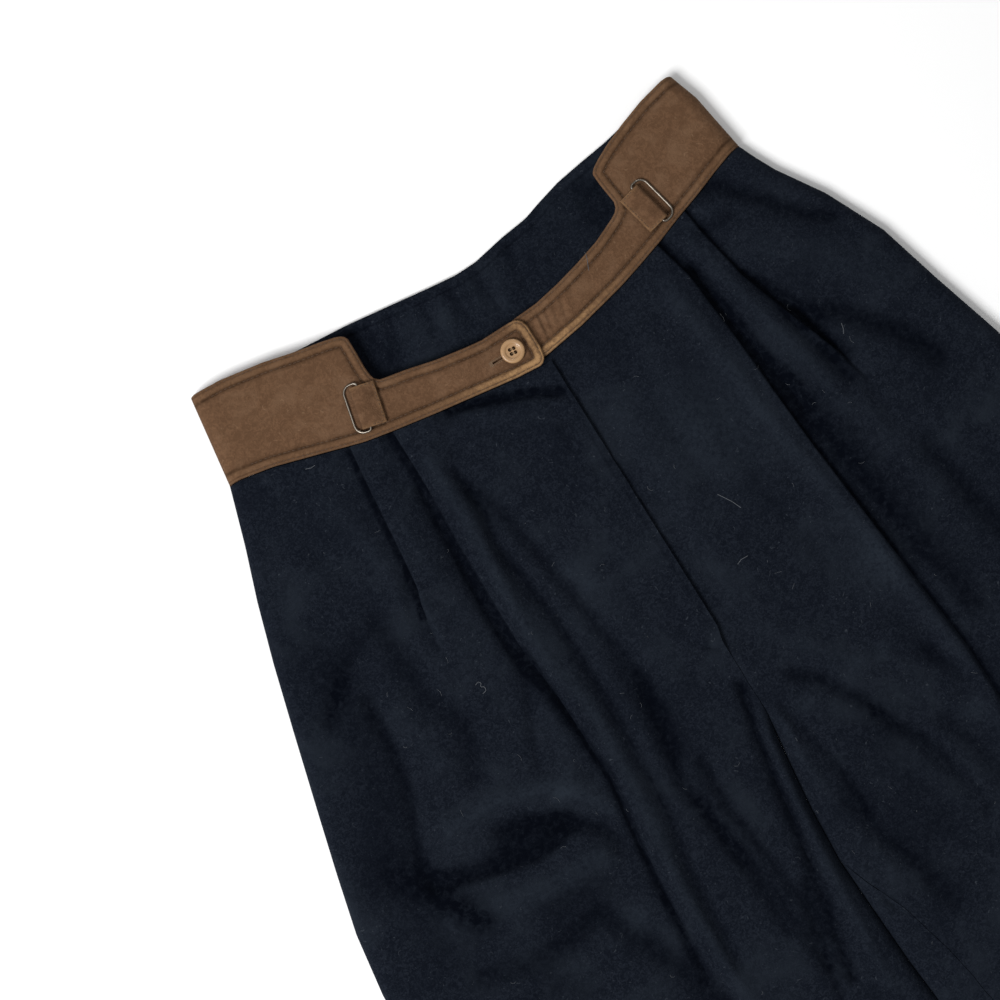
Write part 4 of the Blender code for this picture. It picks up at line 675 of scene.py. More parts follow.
def back_surface(half, level_y):
    """Middle surface and normals of one back: flat on the table, curled up at the side to the seam, and at
    the leg's inner edge curled up to the inseam, which at the image right has rolled over the top."""
    rows = level_y.size
    side = half.settle(half.side, level_y, half.back_row_y)
    rounded = crotch_share(level_y)[:, None]
    inner_edge = np.where(level_y > 0.0, -0.5 * SEAM_GAP, half.at_y(half.inner, np.minimum(level_y, 0.0)))
    floor_z = 0.5 * NAVY_WALL
    curl = SIDE_SEAM_HEIGHT - 0.5 * SEAM_GAP - floor_z
    theta = np.linspace(0.5 * math.pi, 0.0, 8)
    side_m = side[:, None] + 0.5 * NAVY_WALL + curl * (1.0 - np.sin(theta))[None, :]
    side_z = np.repeat((floor_z + curl * (1.0 - np.cos(theta)))[None, :], rows, axis=0)
    seam_at, rolled = rolled_seam(half, level_y)
    seam_at = np.where(rolled > 0.0, seam_at - 0.5 * SEAM_GAP, 0.0)
    curl_length = 0.5 * math.pi * curl
    count = 40 if half.roll is INSEAM_ROLL else 16
    share = np.linspace(0.0, 1.0, count)[None, :]
    even = BACK_EDGE_START + (curl_length - BACK_EDGE_START + seam_at)[:, None] * share
    over = curl_length + EDGE_ROUND
    knots = np.where(share < 0.6, BACK_EDGE_START + (over - BACK_EDGE_START) * share / 0.6,
                     over + (curl_length + seam_at[:, None] - over) * (share - 0.6) / 0.4)
    weight = soft_step(seam_at / (EDGE_ROUND + 1.0))[:, None]
    q = even + weight * (knots - even)
    curl_angle = np.clip(q / curl, 0.0, 0.5 * math.pi)
    p = np.maximum(q - curl_length, 0.0)
    over_angle = np.clip(p / EDGE_ROUND, 0.0, 1.0) * 0.5 * math.pi
    set_in = curl * (1.0 - np.sin(curl_angle)) + np.maximum(-q, 0.0)
    set_in = set_in + EDGE_ROUND * (1.0 - np.cos(over_angle)) + np.maximum(p - EDGE_ROUND, 0.0)
    edge_m = inner_edge[:, None] - 0.5 * NAVY_WALL * rounded - set_in
    edge_y = half.back_row_y(level_y[:, None], edge_m)
    top_height = front_height(half.sign * edge_m, edge_y)
    start_z = SIDE_SEAM_HEIGHT + 0.5 * SEAM_GAP
    over_z = start_z + (top_height - start_z) * np.sin(over_angle)
    edge_z = np.where(p > 0.0, over_z, floor_z + rounded * curl * (1.0 - np.cos(curl_angle)))
    flat_m = spread(side_m[:, -1], edge_m[:, 0], inner_shares(24))
    m = np.concatenate((side_m, flat_m, edge_m), axis=1)
    z = np.concatenate((side_z, np.full(flat_m.shape, floor_z), edge_z), axis=1)
    y = half.back_row_y(level_y[:, None], m)
    x = half.sign * m
    step_m = np.gradient(m, axis=1)
    step_z = np.gradient(z, axis=1)
    step_m[:, 0] = 0.0
    step_z[:, 0] = -1.0
    flat = slice(side_m.shape[1] - 1, side_m.shape[1] + flat_m.shape[1] + 1)
    step_m[:, flat] = 1.0
    step_z[:, flat] = 0.0
    slope = front_slope(half, edge_m, edge_y)
    over_m = -EDGE_ROUND * np.sin(over_angle)
    over_up = (top_height - start_z) * np.cos(over_angle) + slope * over_m * np.sin(over_angle)
    zone = slice(m.shape[1] - count, m.shape[1])
    step_m[:, zone] = np.where(p > 0.0, over_m, 1.0 - rounded * (1.0 - np.cos(curl_angle)))
    step_z[:, zone] = np.where(p > 0.0, over_up, rounded * np.sin(curl_angle))
    return np.stack((x, y, z), axis=2), row_normals(half.sign, step_m, step_z)


EDGE_ROWS = np.array((0.0, 0.25, 0.6, 1.0, 1.4, 1.7, 2.0, 2.5, 3.3, 4.1, 5.0, 5.8, 6.4, 7.0, 7.8))


def band_level(x, laps_over):
    """Height of a front band's middle: one end rises over the other where they lap."""
    if laps_over:
        return BAND_LEVEL + BAND_LAP_STEP * soft_step((x + 72.0) / 26.0)
    return BAND_LEVEL - BAND_LAP_STEP * soft_step((32.0 - x) / 24.0)


def fringe_columns(start, end, dense_start, dense_end, step):
    """Places from start to end, close together near the ends that are edges, as EDGE_ROWS has them."""
    sign = 1.0 if end > start else -1.0
    first = start + sign * EDGE_ROWS if dense_start else np.array((start,))
    last = end - sign * EDGE_ROWS[::-1] if dense_end else np.array((end,))
    count = max(2, int(abs(last[0] - first[-1]) / step))
    return np.concatenate((first, np.linspace(first[-1], last[0], count + 1)[1:-1], last))


def front_band_surface(half, tall_x, narrow_x, foot, narrow_top, tall_top, step_line, laps_over):
    """Middle surface, normals, kept cells, edge distance and outline of one front band.

    Lower rows run from the side seam to the end of the narrow part, upper rows stop at the step; rows and
    columns are close together along the edges so that the welt can be formed there.
    """
    theta = np.linspace(0.0, 0.5 * math.pi, 11)
    flat_x = np.concatenate((tall_x, narrow_x))
    base_x = np.concatenate((0.0 * theta, flat_x))
    inward = np.concatenate((0.5 * BAND_WALL + EDGE_ROUND * (1.0 - np.cos(theta)), 0.0 * flat_x))
    is_side = np.arange(base_x.size) < theta.size
    tall_count = theta.size + tall_x.size
    step_x = base_x[tall_count - 1]
    near = np.where(is_side, 0.0, np.exp(-((base_x - step_x) / 5.0) ** 2))

    def column_x(y, fade):
        """Columns at the side follow the side seam, and those near the step follow the step's line."""
        moved = base_x + near * fade * (from_table(step_line, y) - step_x)
        return np.where(is_side, from_table(half.side, y) + half.sign * inward, moved)

    def crossing(table, fade):
        """The y at which each column meets an (x, y) line, found by a few repeats."""
        y = np.full(base_x.shape, 300.0)
        for _ in range(9):
            y = from_table(table, column_x(y, fade))
        return y

    low = crossing(foot, 0.0)
    middle = crossing(narrow_top, 1.0)
    high = crossing(tall_top, 1.0)
    scale = np.minimum(1.0, 0.42 * (middle - low) / EDGE_ROWS[-1])
    bottom_rows = low[None, :] + EDGE_ROWS[:, None] * scale[None, :]
    top_rows = middle[None, :] - EDGE_ROWS[::-1][:, None] * scale[None, :]
    fill = inner_shares(8)[:, None] * (top_rows[0] - bottom_rows[-1])[None, :] + bottom_rows[-1][None, :]
    tall_scale = np.minimum(1.0, 0.42 * np.maximum(high - middle, 1.0) / EDGE_ROWS[-1])
    last_rows = high[None, :] - EDGE_ROWS[::-1][:, None] * tall_scale[None, :]
    upper = inner_shares(12)[:, None] * (last_rows[0] - middle)[None, :] + middle[None, :]
    y = np.concatenate((bottom_rows, fill, top_rows, upper, last_rows), axis=0)
    lower_count = 2 * EDGE_ROWS.size + 8
    fade = soft_step((y - low[None, :]) / np.maximum(middle - low, 1.0)[None, :])
    x = column_x(y, fade)

    e = np.concatenate((np.sin(theta), np.ones(tall_x.size + narrow_x.size)))[None, :]
    start_z = BAND_SEAM_HEIGHT + 0.5 * SEAM_GAP
    z = start_z + (band_level(x, laps_over) + 0.5 * ripple(x, y) - start_z) * e
    if laps_over:
        weight = soft_step((x + 44.0) / 12.0) * soft_step((1.0 - x) / 8.0)
        places = BUTTON_CENTRE[1] + np.array((-4.0, -2.0, -1.1, -0.5, 0.5, 1.1, 2.0, 4.0))
        rows = slice(EDGE_ROWS.size, EDGE_ROWS.size + 8)
        y[rows] = y[rows] + weight[rows] * (places[:, None] - y[rows])
    keep = np.ones((y.shape[0] - 1, y.shape[1] - 1), dtype=bool)
    keep[lower_count - 1:, tall_count - 1:] = False

    outline = np.concatenate((
        np.stack((x[0], y[0]), axis=1),
        np.stack((x[:lower_count, -1], y[:lower_count, -1]), axis=1),
        np.stack((x[lower_count - 1, tall_count - 1:][::-1],
                  y[lower_count - 1, tall_count - 1:][::-1]), axis=1),
        np.stack((x[lower_count - 1:, tall_count - 1], y[lower_count - 1:, tall_count - 1]), axis=1),
        np.stack((x[-1, :tall_count][::-1], y[-1, :tall_count][::-1]), axis=1)))
    gone = np.linalg.norm(np.diff(outline, axis=0), axis=1) > 1.0e-6
    outline = outline[np.concatenate(((True,), gone))]
    edge = line_distance(x, y, outline.tolist())[0]

    step_m = np.gradient(half.sign * x, axis=1)
    step_z = np.gradient(z, axis=1)
    step_m[:, 0] = 0.0
    step_z[:, 0] = 1.0
    normal = row_normals(half.sign, step_m, step_z)
    if laps_over:
        first = theta.size + tall_x.size + int(np.argmin(np.abs(narrow_x - SLOT_LEFT)))
        last = theta.size + tall_x.size + int(np.argmin(np.abs(narrow_x - SLOT_RIGHT)))
        keep[EDGE_ROWS.size + 3, first:last] = False
    return np.stack((x, y, z), axis=2), normal, keep, edge, outline


def back_band_surface(wall, floor_z, curls, inset, height):
    """Middle surface, normals and edge distance of the back band, or of the facing that lies on it."""
    curl = BAND_SEAM_HEIGHT - 0.5 * SEAM_GAP - floor_z
    theta = np.linspace(0.5 * math.pi, 0.0, 9) if curls else np.zeros(1)
    side_inward = 0.5 * wall + curl * (1.0 - np.sin(theta)) if curls else np.array((7.5,))
    side_level = floor_z + curl * (1.0 - np.cos(theta)) if curls else np.array((floor_z,))
    flat_x = np.linspace(-186.0, 147.0, 112)
    left = from_table(SIDE_IMAGE_LEFT, 320.0) + side_inward
    right = (from_table(SIDE_IMAGE_RIGHT, 320.0) - side_inward)[::-1]
    base_x = np.concatenate((left, flat_x, right))
    level = np.concatenate((side_level, np.full(flat_x.size, floor_z), side_level[::-1]))
    top = from_table(BACK_TOP, base_x) - inset
    low = from_table(BACK_BAND_FOOT, base_x) if height is None else top - height
    rows_up = low[None, :] + inner_shares(10)[:, None] * (top - low - EDGE_ROWS[-1])[None, :]
    top_rows = top[None, :] - EDGE_ROWS[::-1][:, None]
    y = np.concatenate((low[None, :], low[None, :] + 0.6, rows_up, top_rows), axis=0)
    count = theta.size
    x = np.repeat(base_x[None, :], y.shape[0], axis=0)
    x[:, :count] = from_table(SIDE_IMAGE_LEFT, y[:, :count]) + side_inward[None, :]
    x[:, -count:] = from_table(SIDE_IMAGE_RIGHT, y[:, -count:]) - side_inward[::-1][None, :]
    z = np.repeat(level[None, :], y.shape[0], axis=0)
    step_x = np.gradient(x, axis=1)
    step_z = np.gradient(z, axis=1)
    if curls:
        step_x[:, (0, -1)] = 0.0
        step_z[:, 0] = -1.0
        step_z[:, -1] = 1.0
        step_x[:, (count - 1, -count)] = 1.0
        step_z[:, (count - 1, -count)] = 0.0
    normal = row_normals(1.0, step_x, step_z)
    outline = np.stack((x[-1], y[-1]), axis=1)
    edge = line_distance(x, y, outline.tolist())[0]
    return np.stack((x, y, z), axis=2), normal, edge


def rounded_wall(wall, edge, radius):
    """Wall thickness that closes over the last stretch to an edge as a quarter circle does."""
    share = np.clip(edge / radius, 0.0, 1.0)
    return np.maximum(wall * np.sqrt(1.0 - (1.0 - share) ** 2), 0.12)


def welt(edge, height):
    """The padded border: a low hump, a furrow at each row of stitches, and the middle a little padded."""
    hump = height * np.sin(np.pi * np.clip((edge - 0.5) / (WELT_ROWS[1] - 0.5), 0.0, 1.0))
    first = -0.7 * height * np.exp(-((edge - WELT_ROWS[0]) / 0.5) ** 2)
    second = -1.5 * height * np.exp(-((edge - WELT_ROWS[1]) / 0.8) ** 2)
    return hump + first + second + 0.24 * height * soft_step((edge - WELT_ROWS[1]) / 4.0)


def band_marks(points, edge, foot, laps_over):
    """Where a front band is worn pale, and where its stitched furrows are painted dark as shade and dirt,
    from 0 to 1.

    The border is rubbed most along the foot on both sides of the button, and all round the buttonhole end.
    """
    x, y = points[:, :, 0], points[:, :, 1]
    border = soft_step((edge + 0.6) / 1.6) * soft_step((7.4 - edge) / 2.6)
    low = soft_step((9.0 - y + from_table(foot, x)) / 5.0)
    worn = 0.06 + 0.95 * low * np.exp(-((x + 4.0) / 44.0) ** 2)
    if laps_over:
        worn = worn + 0.6 * soft_step((x + 12.0) / 7.0)
        border = np.maximum(border, 0.5 * soft_step((x + 5.0) / 4.0))
    # the furrows of both stitch rows: painted shade, with some dirt
    first = 0.6 * np.exp(-((edge - WELT_ROWS[0]) / 0.6) ** 2)
    second = 1.0 * np.exp(-((edge - WELT_ROWS[1]) / 1.15) ** 2)
    return {"wear_and_painted_light": border * worn, "painted_shade_and_dirt": first + second}


def fold_marks(points):
    """Painted highlight on ridges, pale smudges, and painted shade in troughs and along the shade lines, from
    0 to 1.
    """
    x, y = points[:, :, 0], points[:, :, 1]
    relief = swell(x, y, FOLDS)
    shade = swell(x, y, PAINTED_SHADES)
    # painted highlight on the ridges, then the pale smudges and patches
    wear_and_painted_light = 0.55 * soft_step(relief / SHADE_DEPTH)
    for centre_x, centre_y, radius in SMUDGES:
        wear_and_painted_light = wear_and_painted_light + 0.6 * np.exp(-((x - centre_x) ** 2 + (y - centre_y) ** 2) / radius ** 2)
    # painted shade in the troughs and along the lines and clouds of painted shade
    return {"wear_and_painted_light": wear_and_painted_light, "painted_shade_and_dirt": np.clip(0.85 * soft_step(-relief / SHADE_DEPTH) + shade, 0.0, 1.0)}


def tab_section(surface_z, loop):
    """Section of a tab: along, height and normal, from the sewn end round beyond the ring's bar and back."""
    sleeve = WIRE_RADIUS + SLEEVE_CLEARANCE + 0.5 * TAB_WALL
    base = surface_z + REST_CLEARANCE + 0.5 * TAB_WALL
    centre_z = base + sleeve
    under = np.linspace(1.0, 0.0, 9)
    angle = np.linspace(0.0, math.pi, 19)
    over = np.linspace(0.0, 1.0, 20)
    drop = centre_z + sleeve - (base + TAB_WALL + FOLD_GAP)
    fall = TAB_REACH_IN - TAB_FALL_FROM
    slope = 6.0 * over * (1.0 - over) * drop / fall
    size = np.hypot(1.0, slope)
    s = np.concatenate((TAB_REACH_IN * under, -loop - sleeve * np.sin(angle), TAB_FALL_FROM + fall * over))
    z = np.concatenate((base + 0.0 * under, centre_z - sleeve * np.cos(angle),
                        centre_z + sleeve - drop * soft_step(over)))
    along = np.concatenate((-1.0 + 0.0 * under, -np.cos(angle), 1.0 / size))
    up = np.concatenate((0.0 * under, np.sin(angle), -slope / size))
    return s, z, along, up, centre_z


def tab_axes(tilt, inward):
    """The direction of a tab's length, and of its width from the fold to its sewn edge."""
    direction = np.array((math.sin(math.radians(tilt)), math.cos(math.radians(tilt)), 0.0))
    return direction, np.array((direction[1], -direction[0], 0.0)) * inward


def tab_surface(hinge, tilt, inward, surface_z, loop):
    """Middle surface, normals and edge distance of a tab, its section carried along its length, and the
    creases of its top: a few crossing sine waves."""
    s, z, along, up, _ = tab_section(surface_z, loop)
    ends = np.array((0.0, 0.15, 0.4, 0.8, 1.2, 1.6))
    half_length = 0.5 * TAB_LENGTH
    inner_end = half_length - 2.4
    run = np.concatenate((-half_length + ends, np.linspace(-inner_end, inner_end, 34),
                          half_length - ends[::-1]))
    direction, side = tab_axes(tilt, inward)
    points = run[:, None, None] * direction + s[None, :, None] * side
    points = points + np.array((hinge[0], hinge[1], 0.0))
    points[:, :, 2] = z[None, :]
    normals = -up[None, :, None] * side + 0.0 * points
    normals[:, :, 2] = along[None, :]
    edge = np.minimum(half_length - np.abs(run)[:, None], TAB_REACH_IN - s[None, :] + 0.0 * run[:, None])
    waves = np.sin(run[:, None] / 1.7 + 2.0 * np.sin(s[None, :] / 4.0 + hinge[0])) * np.cos(s[None, :] / 3.1)
    waves = 0.14 * waves + 0.12 * np.sin(run[:, None] / 3.7 - s[None, :] / 2.3)
    return points, normals, edge, np.where(along[None, :] > 0.0, waves, 0.0)


def closed_sheet(upper, lower, keep=None):
    """Vertices and faces of a closed wall between two skins given on the same grid.

    Kept cells give a face on each skin; where a cell has no kept neighbour a side face joins the skins.
    """
    rows, columns = upper.shape[:2]
    if keep is None:
        keep = np.ones((rows - 1, columns - 1), dtype=bool)
    count = rows * columns
    index = np.arange(count).reshape(rows, columns)
    a, b, c, d = index[:-1, :-1], index[:-1, 1:], index[1:, 1:], index[1:, :-1]
    padded = np.pad(keep, 1)
    top = np.stack((a, b, c, d), axis=2)[keep]
    faces = [top, top[:, ::-1] + count]
    sides = ((padded[:-2, 1:-1], b, a), (padded[2:, 1:-1], d, c), (padded[1:-1, :-2], a, d),
             (padded[1:-1, 2:], c, b))
    for neighbour, p, q in sides:
        bare = keep & ~neighbour
        faces.append(np.stack((p[bare], q[bare], q[bare] + count, p[bare] + count), axis=1))
    faces = np.concatenate(faces, axis=0)
    vertices = np.concatenate((upper.reshape(-1, 3), lower.reshape(-1, 3)), axis=0)
    used = np.unique(faces)
    place = np.zeros(vertices.shape[0], dtype=int)
    place[used] = np.arange(used.size)
    return vertices[used], place[faces], used


def tubes(paths, radii, sides, closed=False):
    """Round tubes along many paths at once: paths (tube, step, 3) and radii (tube, step).

    Each step carries a ring square to the path; rings are joined, and open ends are closed by a flat face.
    """
    count, steps = paths.shape[:2]
    if closed:
        tangent = np.roll(paths, -1, axis=1) - np.roll(paths, 1, axis=1)
    else:
        tangent = np.gradient(paths, axis=1)
    tangent = tangent / np.linalg.norm(tangent, axis=2, keepdims=True)
    across = np.cross(tangent, np.array((0.013, 0.021, 1.0)))
    across = across / np.linalg.norm(across, axis=2, keepdims=True)
    over = np.cross(across, tangent)
    angle = 2.0 * np.pi * np.arange(sides) / sides
    ring = np.cos(angle)[:, None] * across[:, :, None, :] + np.sin(angle)[:, None] * over[:, :, None, :]
    vertices = paths[:, :, None, :] + radii[:, :, None, None] * ring
    index = np.arange(count * steps * sides).reshape(count, steps, sides)
    following = np.roll(index, -1, axis=2)
    if closed:
        ahead, ahead_following = np.roll(index, -1, axis=1), np.roll(following, -1, axis=1)
        quads = np.stack((index, following, ahead_following, ahead), axis=3).reshape(-1, 4)
        return vertices.reshape(-1, 3), quads.tolist()
    quads = np.stack((index[:, :-1], following[:, :-1], following[:, 1:], index[:, 1:]), axis=3)
    quads = quads.reshape(-1, 4)
    caps = index[:, 0, ::-1].tolist() + index[:, -1].tolist()
    return vertices.reshape(-1, 3), quads.tolist() + caps


def way_along(points):
    """Distance travelled along a line up to each of its points."""
    return np.concatenate(((0.0,), np.cumsum(np.linalg.norm(np.diff(points, axis=0), axis=1))))


def stitch_run(points, up, length, gap, radius, sink):
    """Stitches along a line of points: each a short thread that dips into the cloth at both ends.

    The line is cut to steps of one stitch and one gap; a stitch follows it, its height falling at the ends as
    the fourth power of the distance from its middle.
    """
    points = np.asarray(points)
    travelled = way_along(points)
    starts = np.arange(0.3 * length, travelled[-1] - length, length + gap)
    starts = starts + 0.12 * length * np.sin(2.7 * starts)
    shares = np.linspace(0.0, 1.0, 7)
    at = starts[:, None] + shares[None, :] * length
    paths = np.stack([np.interp(at, travelled, points[:, k]) for k in range(3)], axis=2)
    bend = 1.0 - np.abs(2.0 * shares - 1.0) ** 4
    paths = paths + (up * bend - sink * (1.0 - bend))[None, :, None] * np.array((0.0, 0.0, 1.0))
    radii = radius * (0.55 + 0.45 * bend)[None, :] * np.ones((starts.size, 1))
    return tubes(paths, radii, 6)


def frame_shift():
    """The frame's place of the crotch point: the solid button's centre less the table's."""
    low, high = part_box("button")
    centre_x = 500.0 * (low.x + high.x)
    centre_y = 500.0 * (low.y + high.y)
    return np.array((centre_x - BUTTON_CENTRE[0], centre_y - BUTTON_CENTRE[1], 0.0))


def offset_line(outline, side, distance):
    """A line inside an outline: even steps moved square to its smoothed run, less those too near to it."""
    travelled = way_along(outline)
    at = np.arange(0.0, travelled[-1], 0.5)
    line = np.stack([np.interp(at, travelled, outline[:, k]) for k in range(2)], axis=1)
    heading = np.gradient(line, axis=0)
    heading = np.stack([np.convolve(heading[:, k], np.ones(7), mode="same") for k in range(2)], axis=1)
    heading = heading / np.linalg.norm(heading, axis=1, keepdims=True)
    moved = line + side * distance * np.stack((-heading[:, 1], heading[:, 0]), axis=1)
    away = line_distance(moved[:, 0], moved[:, 1], outline.tolist())[0]
    return moved[(away > 0.9 * distance) & (moved[:, 0] > FLAT_ZONE[0]) & (moved[:, 0] < FLAT_ZONE[1])]


def ray_start(x, y, shift):
    """A place well above (x, y), in the frame's metres."""
    return (x + shift[0]) * MM, (y + shift[1]) * MM, RAY_HEIGHT


def on_cloth(name, line):
    """The points of a line (x, y) dropped straight down on to a piece; points beside it are left out."""
    shift = frame_shift()
    piece = bpy.data.objects[name]
    found = []
    for x, y in line:
        hit, place, _, _ = piece.ray_cast(ray_start(x, y, shift), DOWN)
        if hit:
            found.append((x, y, place[2] / MM))
    return np.array(found)


def joined(parts):
    """One list of vertices and faces from several."""
    vertices = []
    faces = []
    count = 0
    for part_vertices, part_faces in parts:
        vertices.append(part_vertices)
        faces.extend([[index + count for index in face] for face in part_faces])
        count += len(part_vertices)
    return np.concatenate(vertices, axis=0), faces


def joined_pieces(runs, length, gap, radius, sink):
    """Stitches along several lines as one mesh."""
    return joined([stitch_run(run, 0.35 * radius, length, gap, radius, sink) for run in runs if len(run) > 8])


def make_piece(name, vertices, faces, finish, body, sharp=50.0, values=None, texture=None):
    """A named mesh piece at the origin, with outward faces, riding on a body."""
    mesh = bpy.data.meshes.new(name)
    placed = (np.asarray(vertices) + frame_shift()) * MM
    mesh.from_pydata(placed.tolist(), [], faces if isinstance(faces, list) else faces.tolist())
    for mark, amounts in (values or {}).items():
        attribute = mesh.attributes.new(mark, "FLOAT", "POINT")
        attribute.data.foreach_set("value", np.asarray(amounts, dtype=np.float32))
    build = bmesh.new()
    build.from_mesh(mesh)
    bmesh.ops.recalc_face_normals(build, faces=build.faces)
    build.to_mesh(mesh)
    build.free()
    if texture is not None:
        layer = mesh.uv_layers.new(name="cloth")
        loops = np.zeros(len(mesh.loops), dtype=np.int32)
        mesh.loops.foreach_get("vertex_index", loops)
        layer.data.foreach_set("uv", np.asarray(texture, dtype=np.float32)[loops].ravel())
    mesh.polygons.foreach_set("use_smooth", np.ones(len(mesh.polygons), dtype=bool))
    mesh.set_sharp_from_angle(angle=math.radians(sharp))
    mesh.materials.append(finish)
    made = bpy.data.objects.new(name, mesh)
    bpy.context.scene.collection.objects.link(made)
    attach(made, body)
    return made


def sheet_texture(points):
    """Places on the flat cloth, in metres: distance across and distance down, measured along the grid."""
    across = np.concatenate((np.zeros((points.shape[0], 1)),
                             np.cumsum(np.linalg.norm(np.diff(points, axis=1), axis=2), axis=1)), axis=1)
    down = np.concatenate((np.zeros((1, points.shape[1])),
                           np.cumsum(np.linalg.norm(np.diff(points, axis=0), axis=2), axis=0)), axis=0)
    flat = np.stack((across, down), axis=2).reshape(-1, 2) * MM
    return np.concatenate((flat, flat), axis=0)


def cloth_piece(name, points, normals, wall, finish, slot, keep=None, edge=None, top_form=None, radius=1.2,
                marks=None):
    """A cloth node's dressed piece: skins on both sides of the middle surface, closed at the edges."""
    thick = wall if edge is None else rounded_wall(wall, edge, radius)[:, :, None]
    raised = 0.0 if top_form is None else top_form[:, :, None]
    upper = points + normals * (0.5 * thick + raised)
    lower = points - normals * 0.5 * thick
    vertices, faces, used = closed_sheet(upper, lower, keep)
    values = {}
    for mark, amounts in (marks or {}).items():
        values[mark] = np.concatenate((amounts.ravel(), amounts.ravel()))[used]
    made = make_piece(name, vertices, faces, finish, GARMENT, values=values,
                      texture=sheet_texture(points)[used])
    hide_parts(slot)
    return made


def fill(tree, made, **values):
    """Fill in a node by names: an input, with _ for a space, is linked to a socket or set to a value, and any
    other name is a setting of the node."""
    for name, value in values.items():
        name_in = name if name in made.inputs else name.replace("_", " ")
        if name_in not in made.inputs:
            setattr(made, name, value)
        elif isinstance(value, bpy.types.NodeSocket):
            tree.links.new(value, made.inputs[name_in])
        else:
            made.inputs[name_in].default_value = value
    return made


def node(tree, kind, **values):
    """A new shader node, filled in."""
    return fill(tree, tree.nodes.new(kind), **values)


def object_place(tree):
    """The place on the object, for textures."""
    return node(tree, "ShaderNodeTexCoord").outputs["Object"]


def noise(tree, vector, scale, detail, roughness=0.5, distortion=0.0):
    """A noise over the places of the vector."""
    return node(tree, "ShaderNodeTexNoise", Vector=vector, Scale=scale, Detail=detail, Roughness=roughness,
                Distortion=distortion).outputs["Fac"]


def ranged(tree, value, low=0.0, high=1.0, to_low=0.0, to_high=1.0, smooth=False):
    """A value carried from one range to another, straight or eased at both ends."""
    way = "SMOOTHSTEP" if smooth else "LINEAR"
    return node(tree, "ShaderNodeMapRange", interpolation_type=way, Value=value, From_Min=low, From_Max=high,
                To_Min=to_low, To_Max=to_high).outputs["Result"]


def worked_out(tree, operation, one, two, clamp=False):
    """The sum or product of a socket with another socket or a number."""
    made = node(tree, "ShaderNodeMath", operation=operation, use_clamp=clamp)
    tree.links.new(one, made.inputs[0])
    if isinstance(two, bpy.types.NodeSocket):
        tree.links.new(two, made.inputs[1])
    else:
        made.inputs[1].default_value = two
    return made.outputs[0]


def blended(tree, share, one, two):
    """The colour that lies between two at the given share."""
    return node(tree, "ShaderNodeMix", data_type="RGBA", Factor=share, A=one, B=two).outputs["Result"]


def new_group(name, inputs, outputs):
    """An empty shader group with (name, kind, default) inputs and (name, kind) outputs, and its two ends."""
    group = bpy.data.node_groups.new(name, "ShaderNodeTree")
    for label, kind, default in inputs:
        made = group.interface.new_socket(name=label, in_out="INPUT", socket_type="NodeSocket" + kind)
        if default is not None:
            made.default_value = default
    for label, kind in outputs:
        group.interface.new_socket(name=label, in_out="OUTPUT", socket_type="NodeSocket" + kind)
    given = group.nodes.new("NodeGroupInput").outputs
    put = group.nodes.new("NodeGroupOutput").inputs
    return group, given, put


def felt_group():
    """Shader group: felted wool, dark in its depths, with paler fibres, slow mottling and bright hairs."""
    if "Felted wool" in bpy.data.node_groups:
        return bpy.data.node_groups["Felted wool"]
    group, given, put = new_group("Felted wool", (
        ("Vector", "Vector", None), ("Deep", "Color", (0.01, 0.01, 0.01, 1.0)),
        ("Main", "Color", (0.02, 0.02, 0.02, 1.0)), ("Pale", "Color", (0.05, 0.05, 0.05, 1.0)),
        ("Hair", "Color", (0.2, 0.2, 0.2, 1.0)), ("Fibre Scale", "Float", 900.0),
        ("Mottle Scale", "Float", 30.0), ("Hair Amount", "Float", 0.3),
        ("Cloud Amount", "Float", 0.3), ("Relief", "Float", 0.4),
    ), (("Color", "Color"), ("Roughness", "Float"), ("Normal", "Vector")))
    vector = given["Vector"]
    clump_scale = worked_out(group, "MULTIPLY", given["Fibre Scale"], 0.31)
    hair_scale = worked_out(group, "MULTIPLY", given["Fibre Scale"], 0.17)
    fibre = noise(group, vector, given["Fibre Scale"], detail=3.0, roughness=0.62, distortion=0.8)
    clump = noise(group, vector, clump_scale, detail=2.0, roughness=0.5, distortion=1.6)
    mottle = noise(group, vector, given["Mottle Scale"], detail=6.0, roughness=0.66, distortion=0.5)
    hair = noise(group, vector, hair_scale, detail=1.0, roughness=0.4, distortion=3.5)
    grain = worked_out(group, "ADD", fibre, clump)
    grain_share = ranged(group, grain, 0.84, 1.26, smooth=True)
    base = blended(group, grain_share, given["Deep"], given["Main"])
    cloud = ranged(group, mottle, 0.3, 0.5, to_low=given["Cloud Amount"], to_high=0.0, smooth=True)
    clouded = blended(group, cloud, base, given["Deep"])
    slow = ranged(group, mottle, 0.46, 0.74, to_high=0.8, smooth=True)
    faded = blended(group, slow, clouded, given["Pale"])
    strands = worked_out(group, "MULTIPLY", ranged(group, hair, 0.7, 0.8, smooth=True), given["Hair Amount"])
    bump = node(group, "ShaderNodeBump", Distance=0.0006, Strength=given["Relief"], Height=grain)
    group.links.new(blended(group, strands, faded, given["Hair"]), put["Color"])
    group.links.new(ranged(group, fibre, to_low=0.82, to_high=1.0), put["Roughness"])
    group.links.new(bump.outputs["Normal"], put["Normal"])
    return group


